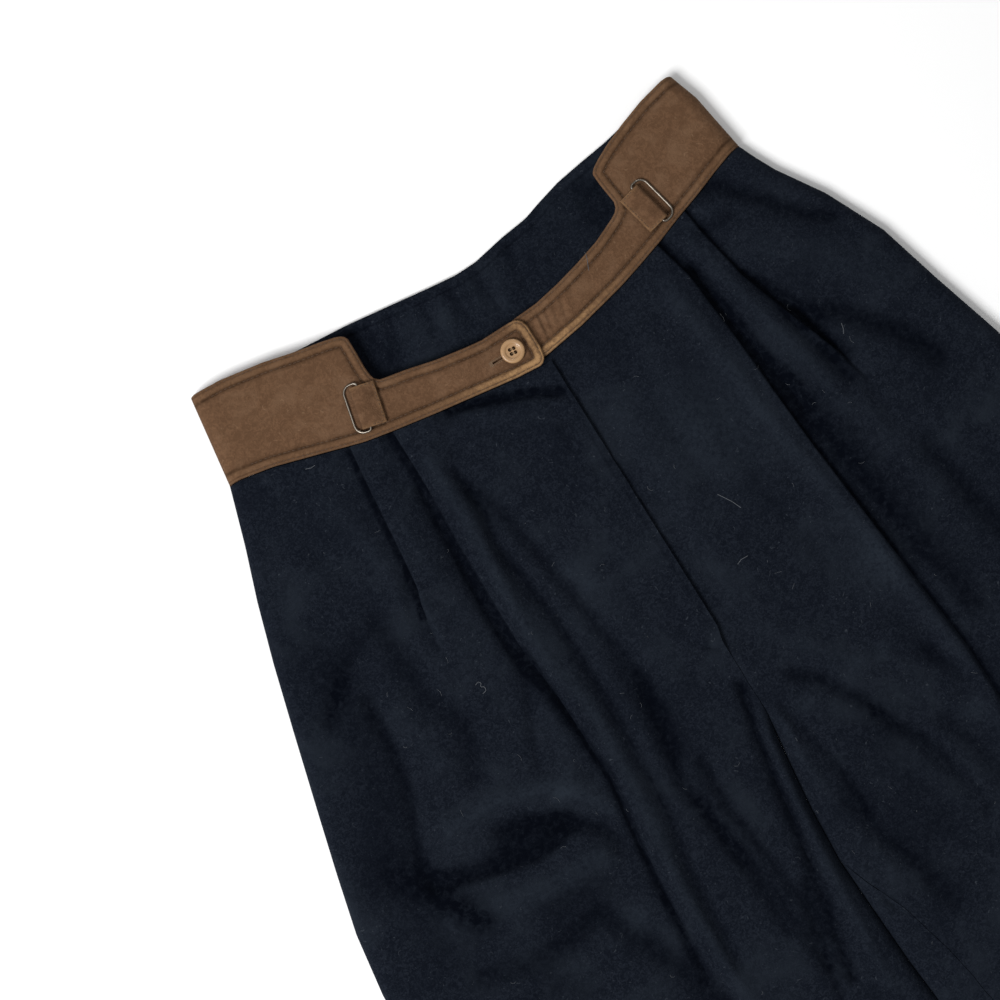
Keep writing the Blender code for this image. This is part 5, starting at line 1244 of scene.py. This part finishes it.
def wear_and_shade_group():
    """Shader group: worn places and painted highlights turn pale, and painted shade and dirt turn dark, both
    broken up by a noise.
    """
    if "Worn cloth with painted light and shade" in bpy.data.node_groups:
        return bpy.data.node_groups["Worn cloth with painted light and shade"]
    group, given, put = new_group("Worn cloth with painted light and shade", (
        ("Vector", "Vector", None), ("Color", "Color", None), ("Rubbed", "Color", (0.3, 0.2, 0.1, 1.0)),
        ("Rub", "Float", 0.0), ("Dark", "Color", (0.01, 0.01, 0.01, 1.0)), ("Groove", "Float", 0.0),
    ), (("Color", "Color"),))
    patch = noise(group, given["Vector"], 330.0, detail=4.0, roughness=0.62, distortion=0.5)
    share = ranged(group, patch, 0.34, 0.64, to_low=0.3, to_high=1.15)
    wear_and_highlight = worked_out(group, "MULTIPLY", given["Rub"], share, clamp=True)
    paler = blended(group, wear_and_highlight, given["Color"], given["Rubbed"])
    uneven = noise(group, given["Vector"], 210.0, detail=5.0, roughness=0.7, distortion=0.4)
    depth = ranged(group, uneven, 0.34, 0.6, to_low=0.5, to_high=1.15)
    shade = worked_out(group, "MULTIPLY", given["Groove"], depth, clamp=True)
    group.links.new(blended(group, shade, paler, given["Dark"]), put["Color"])
    return group


def new_material(name):
    """An empty material with a Principled shader, and its node tree."""
    made = bpy.data.materials.new(name)
    made.use_nodes = True
    return made, made.node_tree, made.node_tree.nodes["Principled BSDF"]


def wool_material(name, shades, fibre_scale, mottle_scale, hair_amount, cloud, relief, sheen, tint, specular):
    """Felted wool in the shades deep, main, pale, hair, lighter and darker; the piece's marks make it worn
    pale, add painted highlights, and add painted shade and dirt.
    """
    if name in bpy.data.materials:
        return bpy.data.materials[name]
    made, tree, shader = new_material(name)
    place = object_place(tree)
    deep, middle, pale, hair, wear_and_painted_light, dark = [(*shade, 1.0) for shade in shades]
    felt = node(tree, "ShaderNodeGroup", node_tree=felt_group(), Vector=place, Deep=deep, Main=middle,
                Pale=pale, Hair=hair, Fibre_Scale=fibre_scale, Mottle_Scale=mottle_scale,
                Hair_Amount=hair_amount, Cloud_Amount=cloud, Relief=relief).outputs
    wear_and_highlight, painted_shade_and_dirt = [node(tree, "ShaderNodeAttribute", attribute_name=mark).outputs["Fac"]
                   for mark in ("wear_and_painted_light", "painted_shade_and_dirt")]
    # the marks turn the felt's colour pale for wear and painted highlight, and dark for painted shade and
    # dirt
    worn = node(tree, "ShaderNodeGroup", node_tree=wear_and_shade_group(), Vector=place, Color=felt["Color"],
                Rubbed=wear_and_painted_light, Rub=wear_and_highlight, Dark=dark, Groove=painted_shade_and_dirt)
    fill(tree, shader, Base_Color=worn.outputs["Color"], Roughness=felt["Roughness"], Normal=felt["Normal"],
         Sheen_Weight=sheen, Sheen_Roughness=0.5, Sheen_Tint=(*tint, 1.0), Specular_IOR_Level=specular)
    return made


def navy_wool(colours):
    """Dark blue-black wool with a short nap, with painted highlights on its ridges and painted shade in its
    troughs.
    """
    shades = (colours.navy_deep, colours.navy, colours.navy_pale, colours.hair, colours.navy_rubbed,
              colours.navy_fold)
    return wool_material("Dark wool", shades, fibre_scale=1150.0, mottle_scale=22.0, hair_amount=0.4,
                         cloud=0.5, relief=0.35, sheen=0.03, tint=(0.45, 0.6, 0.9), specular=0.03)


def brown_felt(colours):
    """Brown felted wool, rubbed to a golden tone along its borders."""
    shades = (colours.brown_deep, colours.brown, colours.brown_pale, colours.brown_hair, colours.brown_rubbed,
              colours.brown_groove)
    return wool_material("Brown felt", shades, fibre_scale=800.0, mottle_scale=60.0, hair_amount=0.3,
                         cloud=0.3, relief=0.6, sheen=0.05, tint=(1.0, 0.8, 0.6), specular=0.05)


def thread_material(name, colour):
    """Twisted sewing thread: fine slanting bands along it."""
    if name in bpy.data.materials:
        return bpy.data.materials[name]
    made, tree, shader = new_material(name)
    twist = node(tree, "ShaderNodeTexWave", bands_direction="DIAGONAL", Vector=object_place(tree),
                 Scale=900.0, Distortion=1.5, Detail=1.0).outputs["Fac"]
    deep = [part * 0.6 for part in colour]
    bump = node(tree, "ShaderNodeBump", Distance=0.0001, Strength=0.4, Height=twist)
    fill(tree, shader, Base_Color=blended(tree, twist, (*deep, 1.0), (*colour, 1.0)), Roughness=0.7,
         Normal=bump.outputs["Normal"])
    return made


def steel_material(colours):
    """Satin wire with dull patches."""
    if "Satin wire" in bpy.data.materials:
        return bpy.data.materials["Satin wire"]
    made, tree, shader = new_material("Satin wire")
    dull = noise(tree, object_place(tree), 260.0, detail=4.0, roughness=0.6)
    fill(tree, shader, Base_Color=blended(tree, dull, (*colours.steel, 1.0), (*colours.steel_dull, 1.0)),
         Roughness=ranged(tree, dull, to_low=0.3, to_high=0.5), Metallic=1.0)
    return made


def horn_material(colours):
    """Tan horn: soft streaks along one way and a low polish."""
    if "Tan horn" in bpy.data.materials:
        return bpy.data.materials["Tan horn"]
    made, tree, shader = new_material("Tan horn")
    turned = node(tree, "ShaderNodeMapping", Vector=object_place(tree), Rotation=(0.0, 0.0, 0.5),
                  Scale=(60.0, 420.0, 60.0)).outputs["Vector"]
    streak = noise(tree, turned, 1.0, detail=3.0, roughness=0.6, distortion=0.6)
    fill(tree, shader, Base_Color=blended(tree, streak, (*colours.button_deep, 1.0), (*colours.button, 1.0)),
         Roughness=0.38, Coat_Weight=0.15)
    return made


def floor_material(colour):
    """Plain pale table top, very slightly uneven."""
    made, tree, shader = new_material("Pale table")
    cloud = noise(tree, object_place(tree), 2.0, detail=2.0)
    duller = [part * 0.99 for part in colour]
    fill(tree, shader, Base_Color=blended(tree, cloud, (*colour, 1.0), (*duller, 1.0)), Roughness=0.9,
         Specular_IOR_Level=0.0)
    return made


# What a user may change: (property, name, description, default), lengths in metres
SIZES = (
    ("welt_height", "Welt height", "Height of the padded border of the waistband", 0.0005),
    ("stitch_length", "Stitch length", "Length of one topstitch", 0.0024),
    ("stitch_gap", "Stitch gap", "Gap between two topstitches", 0.0006),
    ("thread_radius", "Thread radius", "Radius of the sewing thread", 0.0002),
)
COLOURS = (
    ("navy", "Dark wool", "Main colour of the dark cloth", (0.0102, 0.0130, 0.0194)),
    ("navy_deep", "Dark wool, deep", "Colour between the fibres", (0.0036, 0.0050, 0.0086)),
    ("navy_pale", "Dark wool, pale", "Colour of the faded places", (0.0112, 0.0146, 0.0206)),
    # ridges take this colour as painted highlight; the smudges are pale patches on the cloth
    ("navy_rubbed", "Dark wool, highlights and smudges", "Colour of ridges and smudges", (0.0140, 0.0185, 0.0260)),
    # painted shade in the troughs and along the pleats' fold edges
    ("navy_fold", "Dark wool, painted shade", "Colour in the troughs", (0.0008, 0.0014, 0.0034)),
    ("hair", "Stray fibres", "Colour of stray pale fibres", (0.05, 0.058, 0.07)),
    ("lint", "Lint", "Colour of the loose threads", (0.10, 0.11, 0.125)),
    ("brown", "Brown felt", "Main colour of the waistband", (0.124, 0.0665, 0.0362)),
    ("brown_deep", "Brown felt, deep", "Colour between the fibres", (0.090, 0.0475, 0.0255)),
    ("brown_pale", "Brown felt, pale", "Colour of the faded places", (0.140, 0.080, 0.046)),
    ("brown_hair", "Brown fibres", "Colour of the loose brown fibres", (0.24, 0.15, 0.09)),
    ("brown_rubbed", "Rubbed felt", "Colour of rubbed borders", (0.320, 0.187, 0.088)),
    # painted shade, with some dirt, in the stitched furrows
    ("brown_groove", "Furrow shade and dirt", "Colour in the stitched furrows", (0.045, 0.023, 0.0116)),
    ("brown_thread", "Brown thread", "Colour of the topstitching", (0.092, 0.050, 0.027)),
    ("hole_thread", "Buttonhole thread", "Colour of the buttonhole", (0.17, 0.10, 0.052)),
    ("button", "Button", "Pale streaks of the button", (0.40, 0.240, 0.112)),
    ("button_deep", "Button, deep", "Dark streaks of the button", (0.27, 0.15, 0.07)),
    ("steel", "Wire", "Bright part of the wire", (0.30, 0.265, 0.22)),
    ("steel_dull", "Wire, dull", "Dull part of the wire", (0.11, 0.095, 0.08)),
    ("floor", "Table", "Colour of the table", (0.93, 0.93, 0.93)),
)


class TrousersSizes(bpy.types.PropertyGroup):
    """Sizes that a user may change."""

    __annotations__ = {
        key: bpy.props.FloatProperty(name=label, description=said, default=value, unit="LENGTH")
        for key, label, said, value in SIZES
    }


class TrousersColours(bpy.types.PropertyGroup):
    """Colours that a user may change."""

    __annotations__ = {
        key: bpy.props.FloatVectorProperty(name=label, description=said, default=value, subtype="COLOR")
        for key, label, said, value in COLOURS
    }


def visible_rows(top):
    """Row places of the fronts and backs: close together where folds are, wider down the legs."""
    upper = np.linspace(top, -20.0, 120)
    thigh = np.linspace(-20.0, -220.0, 72)[1:]
    leg = np.linspace(-220.0, HEM_Y, 62)[1:]
    return np.concatenate((upper, thigh, leg))


class TROUSERS_OT_fronts(bpy.types.Operator):
    """Build both pleated fronts as closed shells on their solids' form"""

    bl_idname = "trousers.fronts"
    bl_label = "Fronts"

    def execute(self, context):
        finish = navy_wool(context.scene.trousers_colours)
        rows = visible_rows(TOP_ROW_Y)
        for half, name, laps_over in ((IMAGE_LEFT, "front_right", True), (IMAGE_RIGHT, "front_left", False)):
            points, normals = front_surface(half, rows, laps_over)
            made = cloth_piece(name + "_cloth", points, normals, NAVY_WALL, finish, name,
                               marks=fold_marks(points))
        return {"FINISHED"}


class TROUSERS_OT_backs(bpy.types.Operator):
    """Build both backs, flat on the table"""

    bl_idname = "trousers.backs"
    bl_label = "Backs"

    def execute(self, context):
        finish = navy_wool(context.scene.trousers_colours)
        rows = visible_rows(TOP_ROW_Y)
        for half, name in ((IMAGE_LEFT, "back_right"), (IMAGE_RIGHT, "back_left")):
            points, normals = back_surface(half, rows)
            made = cloth_piece(name + "_cloth", points, normals, NAVY_WALL, finish, name)
        return {"FINISHED"}


class TROUSERS_OT_waistband(bpy.types.Operator):
    """Build the two front halves of the waistband with their welts, the back band and its facing"""

    bl_idname = "trousers.waistband"
    bl_label = "Waistband"

    def execute(self, context):
        colours = context.scene.trousers_colours
        sizes = context.scene.trousers_sizes
        height = sizes.welt_height / MM
        felt = brown_felt(colours)
        tall_left = fringe_columns(-186.0, -96.2, False, True, 2.0)
        narrow_left = np.concatenate((
            np.array((-95.5, -94.7, -93.8, -93.1, -92.4, -91.2, -89.7, -88.0)), np.linspace(-86.0, -31.0, 30),
            np.array((SLOT_LEFT,)), np.linspace(-27.5, -15.0, 9), np.array((SLOT_RIGHT,)),
            np.linspace(-12.0, -7.6, 4), 0.9 - EDGE_ROWS[::-1]))
        tall_right = fringe_columns(146.5, 85.6, False, True, 2.0)
        narrow_right = np.concatenate((np.linspace(84.6, 39.0, 24), np.linspace(38.4, 1.0, 63),
                                       np.linspace(-1.0, -33.0, 17), -42.0 + EDGE_ROWS[::-1]))
        for half, name, tall, narrow, foot, low_top, high_top, step, laps in (
                (IMAGE_LEFT, "band_right", tall_left, narrow_left, END_FOOT_IMAGE_LEFT, NARROW_TOP_IMAGE_LEFT,
                 TALL_TOP_IMAGE_LEFT, STEP_IMAGE_LEFT, True),
                (IMAGE_RIGHT, "band_left", tall_right, narrow_right, BAND_FOOT_IMAGE_RIGHT,
                 NARROW_TOP_IMAGE_RIGHT, TALL_TOP_IMAGE_RIGHT, STEP_IMAGE_RIGHT, False)):
            points, normals, keep, edge, outline = front_band_surface(
                half, tall, narrow, foot, low_top, high_top, step, laps)
            x, y, z = points[:, :, 0], points[:, :, 1], points[:, :, 2]
            wandering = edge + 0.22 * np.sin(x / 5.7 + 1.3 * np.sin(y / 8.3))
            raised = np.clip((z - BAND_SEAM_HEIGHT) / (BAND_LEVEL - BAND_SEAM_HEIGHT - 0.6), 0.0, 1.0)
            form = welt(wandering, height) * raised ** 3
            if not laps:
                puckers = swell(x, y, BAND_PUCKERS)
                form = form + puckers * soft_step((edge - 5.5) / 2.0)
            made = cloth_piece(name + "_felt", points, normals, BAND_WALL, felt, name, keep, edge, form,
                               marks=band_marks(points, edge, foot, laps))
            runs = []
            for distance in WELT_ROWS:
                line = offset_line(outline, half.sign, distance)
                jumps = np.flatnonzero(np.linalg.norm(np.diff(line, axis=0), axis=1) > 4.0) + 1
                runs.extend([on_cloth(made.name, run) for run in np.split(line, jumps)])
            vertices, faces = joined_pieces(runs, sizes.stitch_length / MM, sizes.stitch_gap / MM,
                                            sizes.thread_radius / MM, STITCH_SINK)
            stitches = make_piece(name + "_stitches", vertices, faces,
                                  thread_material("Brown thread", colours.brown_thread), GARMENT)
        points, normals, edge = back_band_surface(BACK_BAND_WALL, 0.5 * BACK_BAND_WALL, True, BACK_BAND_INSET,
                                                  None)
        back = cloth_piece("band_back_felt", points, normals, BACK_BAND_WALL, felt, "band_back", None, edge)
        level = BACK_BAND_WALL + SEAM_GAP + 0.5 * FACING_WALL
        points, normals, edge = back_band_surface(FACING_WALL, level, False, FACING_INSET, FACING_HEIGHT)
        x, y = points[:, :, 0], points[:, :, 1]
        within = soft_step((x + 180.0) / 30.0) * soft_step((142.0 - x) / 30.0) * soft_step(edge / 5.0)
        waves = np.maximum(0.0, 1.1 + swell(x, y, FACING_FOLDS) + 1.5 * ripple(x, y)) * within
        points[:, :, 2] = points[:, :, 2] + waves
        furrow = np.exp(-((edge - WELT_ROWS[1]) / 0.7) ** 2)
        # the stitched furrow and the low places of the waves get painted shade, and the crests painted
        # highlight
        marks = {"painted_shade_and_dirt": 0.5 * furrow + 0.5 * soft_step(0.8 - waves) * within,
                 "wear_and_painted_light": 0.4 * soft_step((waves - 0.9) / 0.8)}
        facing = cloth_piece("facing_back_cloth", points, normals, FACING_WALL, navy_wool(colours),
                             "facing_back", None, edge, -0.25 * furrow, 0.8, marks)
        return {"FINISHED"}


class TROUSERS_OT_tabs(bpy.types.Operator):
    """Build the folded tabs"""

    bl_idname = "trousers.tabs"
    bl_label = "Tabs"

    def execute(self, context):
        felt = brown_felt(context.scene.trousers_colours)
        surface = BAND_LEVEL + 0.5 * BAND_WALL
        sizes = context.scene.trousers_sizes
        thread = thread_material("Brown thread", context.scene.trousers_colours.brown_thread)
        for name, hinge, tilt, inward, loop in (
                ("tab_right", HINGE_IMAGE_LEFT, TAB_TILT, 1.0, TAB_LOOP_IMAGE_LEFT),
                ("tab_left", HINGE_IMAGE_RIGHT, -TAB_TILT, -1.0, TAB_LOOP_IMAGE_RIGHT)):
            points, normals, edge, waves = tab_surface(hinge, tilt, inward, surface, loop)
            border = np.exp(-(edge / 1.6) ** 2)
            # the edges are worn pale; the troughs of the creases get painted shade
            made = cloth_piece(name + "_felt", points, normals, TAB_WALL, felt, name, None, edge, waves, 0.6,
                               {"wear_and_painted_light": 0.3 * border, "painted_shade_and_dirt": 0.5 * soft_step(-waves / 0.3)})
            direction, side = tab_axes(tilt, inward)
            reach, half_length = TAB_REACH_IN - TAB_STITCH_INSET, 0.5 * TAB_LENGTH - TAB_STITCH_END
            corners = ((half_length, 1.0), (half_length, reach), (-half_length, reach), (-half_length, 1.0))
            runs = []
            for (run_a, s_a), (run_b, s_b) in zip(corners[:-1], corners[1:]):
                share = np.linspace(0.0, 1.0, 30)[:, None]
                start = run_a * direction + s_a * side
                end = run_b * direction + s_b * side
                line = np.array((hinge[0], hinge[1], 0.0)) + start + share * (end - start)
                runs.append(on_cloth(made.name, line[:, :2]))
            vertices, faces = joined_pieces(runs, 0.8 * sizes.stitch_length / MM, sizes.stitch_gap / MM,
                                            sizes.thread_radius / MM, STITCH_SINK)
            make_piece(name + "_stitches", vertices, faces, thread, GARMENT)
        return {"FINISHED"}


class TROUSERS_OT_rings(bpy.types.Operator):
    """Build the wire rings, each on its own body"""

    bl_idname = "trousers.rings"
    bl_label = "Rings"

    def execute(self, context):
        steel = steel_material(context.scene.trousers_colours)
        surface = BAND_LEVEL + 0.5 * BAND_WALL
        hinge_z = tab_section(surface, 0.0)[4]
        lie = math.asin((hinge_z - surface - REST_CLEARANCE - WIRE_RADIUS) / RING_WIDTH)
        starts = (90.0, 0.0, -90.0, -180.0)
        angle = np.radians(np.concatenate([np.linspace(start, start - 90.0, 12) for start in starts]))
        corner = np.repeat((RING_CORNER, RING_FAR_CORNER, RING_FAR_CORNER, RING_CORNER), 12)
        centre_a = np.repeat((1.0, 1.0, -1.0, -1.0), 12) * (0.5 * RING_LENGTH - corner)
        centre_b = np.repeat((0.0, -RING_WIDTH, -RING_WIDTH, 0.0), 12) + \
            np.repeat((-1.0, 1.0, 1.0, -1.0), 12) * corner
        for name, hinge, tilt, inward in (("ring_right", HINGE_IMAGE_LEFT, TAB_TILT, 1.0),
                                          ("ring_left", HINGE_IMAGE_RIGHT, -TAB_TILT, -1.0)):
            direction, side = tab_axes(tilt, inward)
            slope = side * math.cos(lie) + np.array((0.0, 0.0, math.sin(lie)))
            path = np.array((hinge[0], hinge[1], hinge_z)) + \
                (centre_a + corner * np.cos(angle))[:, None] * direction + \
                (centre_b + corner * np.sin(angle))[:, None] * slope
            vertices, faces = tubes(path[None], np.full((1, path.shape[0]), WIRE_RADIUS), 20, closed=True)
            made = make_piece(name + "_wire", vertices, faces, steel, name + "_body")
            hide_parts(name)
        return {"FINISHED"}


class TROUSERS_OT_button(bpy.types.Operator):
    """Build the button with its rim and holes, and the thread through them"""

    bl_idname = "trousers.button"
    bl_label = "Button"

    def execute(self, context):
        colours = context.scene.trousers_colours
        low = BAND_LEVEL + BAND_LAP_STEP + 0.5 * BAND_WALL + REST_CLEARANCE
        profile = np.array(BUTTON_PROFILE) + np.array((0.0, low))
        around = 2.0 * np.pi * np.arange(BUTTON_SIDES) / BUTTON_SIDES
        ring_x = BUTTON_CENTRE[0] + profile[:, :1] * np.cos(around)[None, :]
        ring_y = BUTTON_CENTRE[1] + profile[:, :1] * np.sin(around)[None, :]
        vertices = np.stack((ring_x, ring_y, profile[:, 1:] + 0.0 * ring_x), axis=2).reshape(-1, 3)
        index = np.arange(vertices.shape[0]).reshape(profile.shape[0], BUTTON_SIDES)
        following = np.roll(index, -1, axis=1)
        quads = np.stack((index[:-1], following[:-1], following[1:], index[1:]), axis=2)
        faces = quads.reshape(-1, 4).tolist() + [index[0, ::-1].tolist(), index[-1].tolist()]
        disc = make_piece("button_disc", vertices, faces, horn_material(colours), GARMENT, BUTTON_SHARP)
        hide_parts("button")
        shift = frame_shift()
        build = bmesh.new()
        holes = []
        for k in range(4):
            turn = math.radians(BUTTON_TURN + 90.0 * k)
            x = BUTTON_CENTRE[0] + BUTTON_HOLE_OFFSET * math.cos(turn)
            y = BUTTON_CENTRE[1] + BUTTON_HOLE_OFFSET * math.sin(turn)
            holes.append((x, y))
            cut = bmesh.ops.create_cone(build, cap_ends=True, segments=HOLE_SIDES, depth=HOLE_DEPTH * MM,
                                        radius1=BUTTON_HOLE_RADIUS * MM, radius2=BUTTON_HOLE_RADIUS * MM)
            bmesh.ops.translate(build, verts=cut["verts"],
                                vec=((x + shift[0]) * MM, (y + shift[1]) * MM, (low + 1.0) * MM))
        mesh = bpy.data.meshes.new("hole_cutter")
        build.to_mesh(mesh)
        build.free()
        cutter = bpy.data.objects.new("hole_cutter", mesh)
        context.scene.collection.objects.link(cutter)
        cut = disc.modifiers.new("holes", "BOOLEAN")
        cut.operation = "DIFFERENCE"
        cut.solver = "EXACT"
        cut.object = cutter
        context.view_layer.update()
        graph = context.evaluated_depsgraph_get()
        finished = bpy.data.meshes.new_from_object(disc.evaluated_get(graph))
        disc.modifiers.clear()
        disc.data = finished
        finished.set_sharp_from_angle(angle=math.radians(BUTTON_SHARP))
        bpy.data.objects.remove(cutter, do_unlink=True)

        # thread: two strands between neighbouring holes, dipping into them
        shares = np.linspace(-1.0, 1.0, 15)
        paths = []
        for first, second in ((0, 1), (3, 2)):
            for offset in (-STRAND_OFFSET, STRAND_OFFSET):
                start = np.array(holes[first])
                end = np.array(holes[second])
                along = end - start
                across = np.array((-along[1], along[0])) / np.linalg.norm(along) * offset
                line = start[None, :] + (0.5 + 0.5 * shares)[:, None] * along[None, :] + across[None, :]
                rise = low + STRAND_TOP - STRAND_DIP * np.abs(shares) ** 7
                paths.append(np.concatenate((line, rise[:, None]), axis=1))
        vertices, faces = tubes(np.array(paths), np.full((len(paths), shares.size), BUTTON_THREAD_RADIUS), 8)
        thread = make_piece("button_thread", vertices, faces,
                            thread_material("Button thread", BUTTON_THREAD_COLOUR), GARMENT)
        return {"FINISHED"}


class TROUSERS_OT_sewing(bpy.types.Operator):
    """Work the buttonhole, and strew the loose threads and lint over the cloth"""

    bl_idname = "trousers.sewing"
    bl_label = "Buttonhole and lint"

    def execute(self, context):
        colours = context.scene.trousers_colours
        random = np.random.default_rng(7)
        level = BAND_LEVEL + BAND_LAP_STEP + 0.5 * BAND_WALL
        shares = np.linspace(0.0, 1.0, 6)
        bent = 0.22 - 0.5 * np.abs(2.0 * shares - 1.0) ** 4
        paths = []
        for x in np.arange(SLOT_LEFT - 1.0, SLOT_RIGHT + 1.0, BUTTONHOLE_PITCH):
            for way in (-1.0, 1.0):
                lean, reach = 0.6 * random.uniform(-1.0, 1.0), random.uniform(1.4, 2.3)
                out = BUTTONHOLE_INSET + shares * (reach - BUTTONHOLE_INSET)
                y = BUTTON_CENTRE[1] + way * out
                paths.append(np.stack((x + lean * shares, y, level + bent), axis=1))
        for x in np.arange(SLOT_LEFT - 2.0, SLOT_LEFT - 0.2, BUTTONHOLE_END_PITCH):
            y = BUTTON_CENTRE[1] + (2.0 * shares - 1.0) * random.uniform(1.6, 2.2)
            paths.append(np.stack((x + 0.1 * shares, y, level + bent + 0.1), axis=1))
        radii = np.full((len(paths), shares.size), BUTTONHOLE_THREAD_RADIUS)
        vertices, faces = tubes(np.array(paths), radii, 6)
        worked = make_piece("buttonhole_stitches", vertices, faces,
                            thread_material("Buttonhole thread", colours.hole_thread), GARMENT)

        parts = []
        graph = context.evaluated_depsgraph_get()
        shift = frame_shift()
        low_x, high_x, low_y, high_y = LINT_ZONE
        strands = [np.array(points) for points in LOOSE_THREADS]
        for _ in range(LINT_COUNT):
            heading = random.uniform(0.0, 2.0 * np.pi) + np.linspace(0.0, random.uniform(-2.6, 2.6), 8)
            size = random.uniform(1.2, 6.0) / 8.0
            centre = np.array((random.uniform(low_x, high_x), random.uniform(low_y, high_y)))
            steps = np.stack((np.cos(heading), np.sin(heading)), axis=1) * size
            strands.append(centre + np.cumsum(steps, axis=0))
        for number, strand in enumerate(strands):
            at = np.linspace(0.0, len(strand) - 1.0, 12)
            line = np.stack([np.interp(at, np.arange(len(strand)), strand[:, k]) for k in range(2)], axis=1)
            lying = []
            for x, y in line:
                start = ray_start(x, y, shift)
                hit, place, _, _, _, _ = context.scene.ray_cast(graph, start, DOWN)
                if hit and place[2] > LINT_LOWEST:
                    lying.append((x, y, place[2] / MM + LINT_LIFT))
            radius = LOOSE_THREAD_RADIUS if number < len(LOOSE_THREADS) else LINT_RADIUS
            if len(lying) == len(line):
                parts.append(tubes(np.array(lying)[None], np.full((1, len(lying)), radius), 5))
        vertices, faces = joined(parts)
        lint = make_piece("lint_threads", vertices, faces, thread_material("Lint", colours.lint), GARMENT)
        return {"FINISHED"}


class TROUSERS_OT_stage(bpy.types.Operator):
    """Lay the pale table, hang the soft lights and set the camera above, turned as the photograph is"""

    bl_idname = "trousers.stage"
    bl_label = "Stage"

    def execute(self, context):
        shift = frame_shift()
        centre = ((VIEW_CENTRE[0] + shift[0]) * MM, (VIEW_CENTRE[1] + shift[1]) * MM)
        mesh = bpy.data.meshes.new("table")
        corners = ((-1.0, -1.0), (1.0, -1.0), (1.0, 1.0), (-1.0, 1.0))
        places = [(x * TABLE_REACH, y * TABLE_REACH, TABLE_LEVEL) for x, y in corners]
        mesh.from_pydata(places, [], [(0, 1, 2, 3)])
        mesh.materials.append(floor_material(context.scene.trousers_colours.floor))
        table = bpy.data.objects.new("table", mesh)
        context.scene.collection.objects.link(table)

        world = bpy.data.worlds.new("Soft room")
        world.use_nodes = True
        fill(world.node_tree, world.node_tree.nodes["Background"], Color=(1.0, 1.0, 1.0, 1.0),
             Strength=ROOM_LIGHT)
        context.scene.world = world
        for name, place, size, power in LAMPS:
            lamp = bpy.data.lights.new(name, "AREA")
            lamp.size = size
            lamp.energy = power
            made = bpy.data.objects.new(name, lamp)
            made.location = (centre[0] + place[0], centre[1] + place[1], place[2])
            away = made.location - type(made.location)((centre[0], centre[1], 0.0))
            made.rotation_euler = away.to_track_quat("Z", "Y").to_euler()
            context.scene.collection.objects.link(made)

        camera = bpy.data.cameras.new("camera")
        camera.sensor_width = SENSOR_WIDTH
        camera.lens = SENSOR_WIDTH * CAMERA_HEIGHT / VIEW_WIDTH
        camera.clip_end = 100.0
        made = bpy.data.objects.new("camera", camera)
        made.location = (centre[0], centre[1], CAMERA_HEIGHT * MM + 0.01)
        made.rotation_euler = (0.0, 0.0, math.atan2(-VIEW_UP[0], VIEW_UP[1]))
        context.scene.collection.objects.link(made)
        context.scene.camera = made
        context.scene.view_settings.view_transform = "Standard"
        return {"FINISHED"}


class TROUSERS_PT_panel(bpy.types.Panel):
    """Lists the pieces in the sidebar"""

    bl_idname = "TROUSERS_PT_panel"
    bl_label = "Trousers"
    bl_space_type = "VIEW_3D"
    bl_region_type = "UI"
    bl_category = "Trousers"

    def draw(self, context):
        for operator in OPERATORS:
            self.layout.operator(operator.bl_idname)
        for group in (context.scene.trousers_sizes, context.scene.trousers_colours):
            for name in group.__annotations__:
                self.layout.prop(group, name)


OPERATORS = (TROUSERS_OT_fronts, TROUSERS_OT_backs, TROUSERS_OT_waistband, TROUSERS_OT_tabs,
             TROUSERS_OT_rings, TROUSERS_OT_button, TROUSERS_OT_sewing, TROUSERS_OT_stage)
CLASSES = (TrousersSizes, TrousersColours) + OPERATORS + (TROUSERS_PT_panel,)


def register():
    """Make the classes and their settings known."""
    for known in CLASSES:
        bpy.utils.register_class(known)
    bpy.types.Scene.trousers_sizes = bpy.props.PointerProperty(type=TrousersSizes)
    bpy.types.Scene.trousers_colours = bpy.props.PointerProperty(type=TrousersColours)


def unregister():
    """Take the classes and their settings away again."""
    del bpy.types.Scene.trousers_colours
    del bpy.types.Scene.trousers_sizes
    for known in reversed(CLASSES):
        bpy.utils.unregister_class(known)


def main():
    """Register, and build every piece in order."""
    register()
    for operator in OPERATORS:
        group, name = operator.bl_idname.split(".")
        getattr(getattr(bpy.ops, group), name)()
    bpy.context.view_layer.update()


if __name__ == "__main__":
    main()
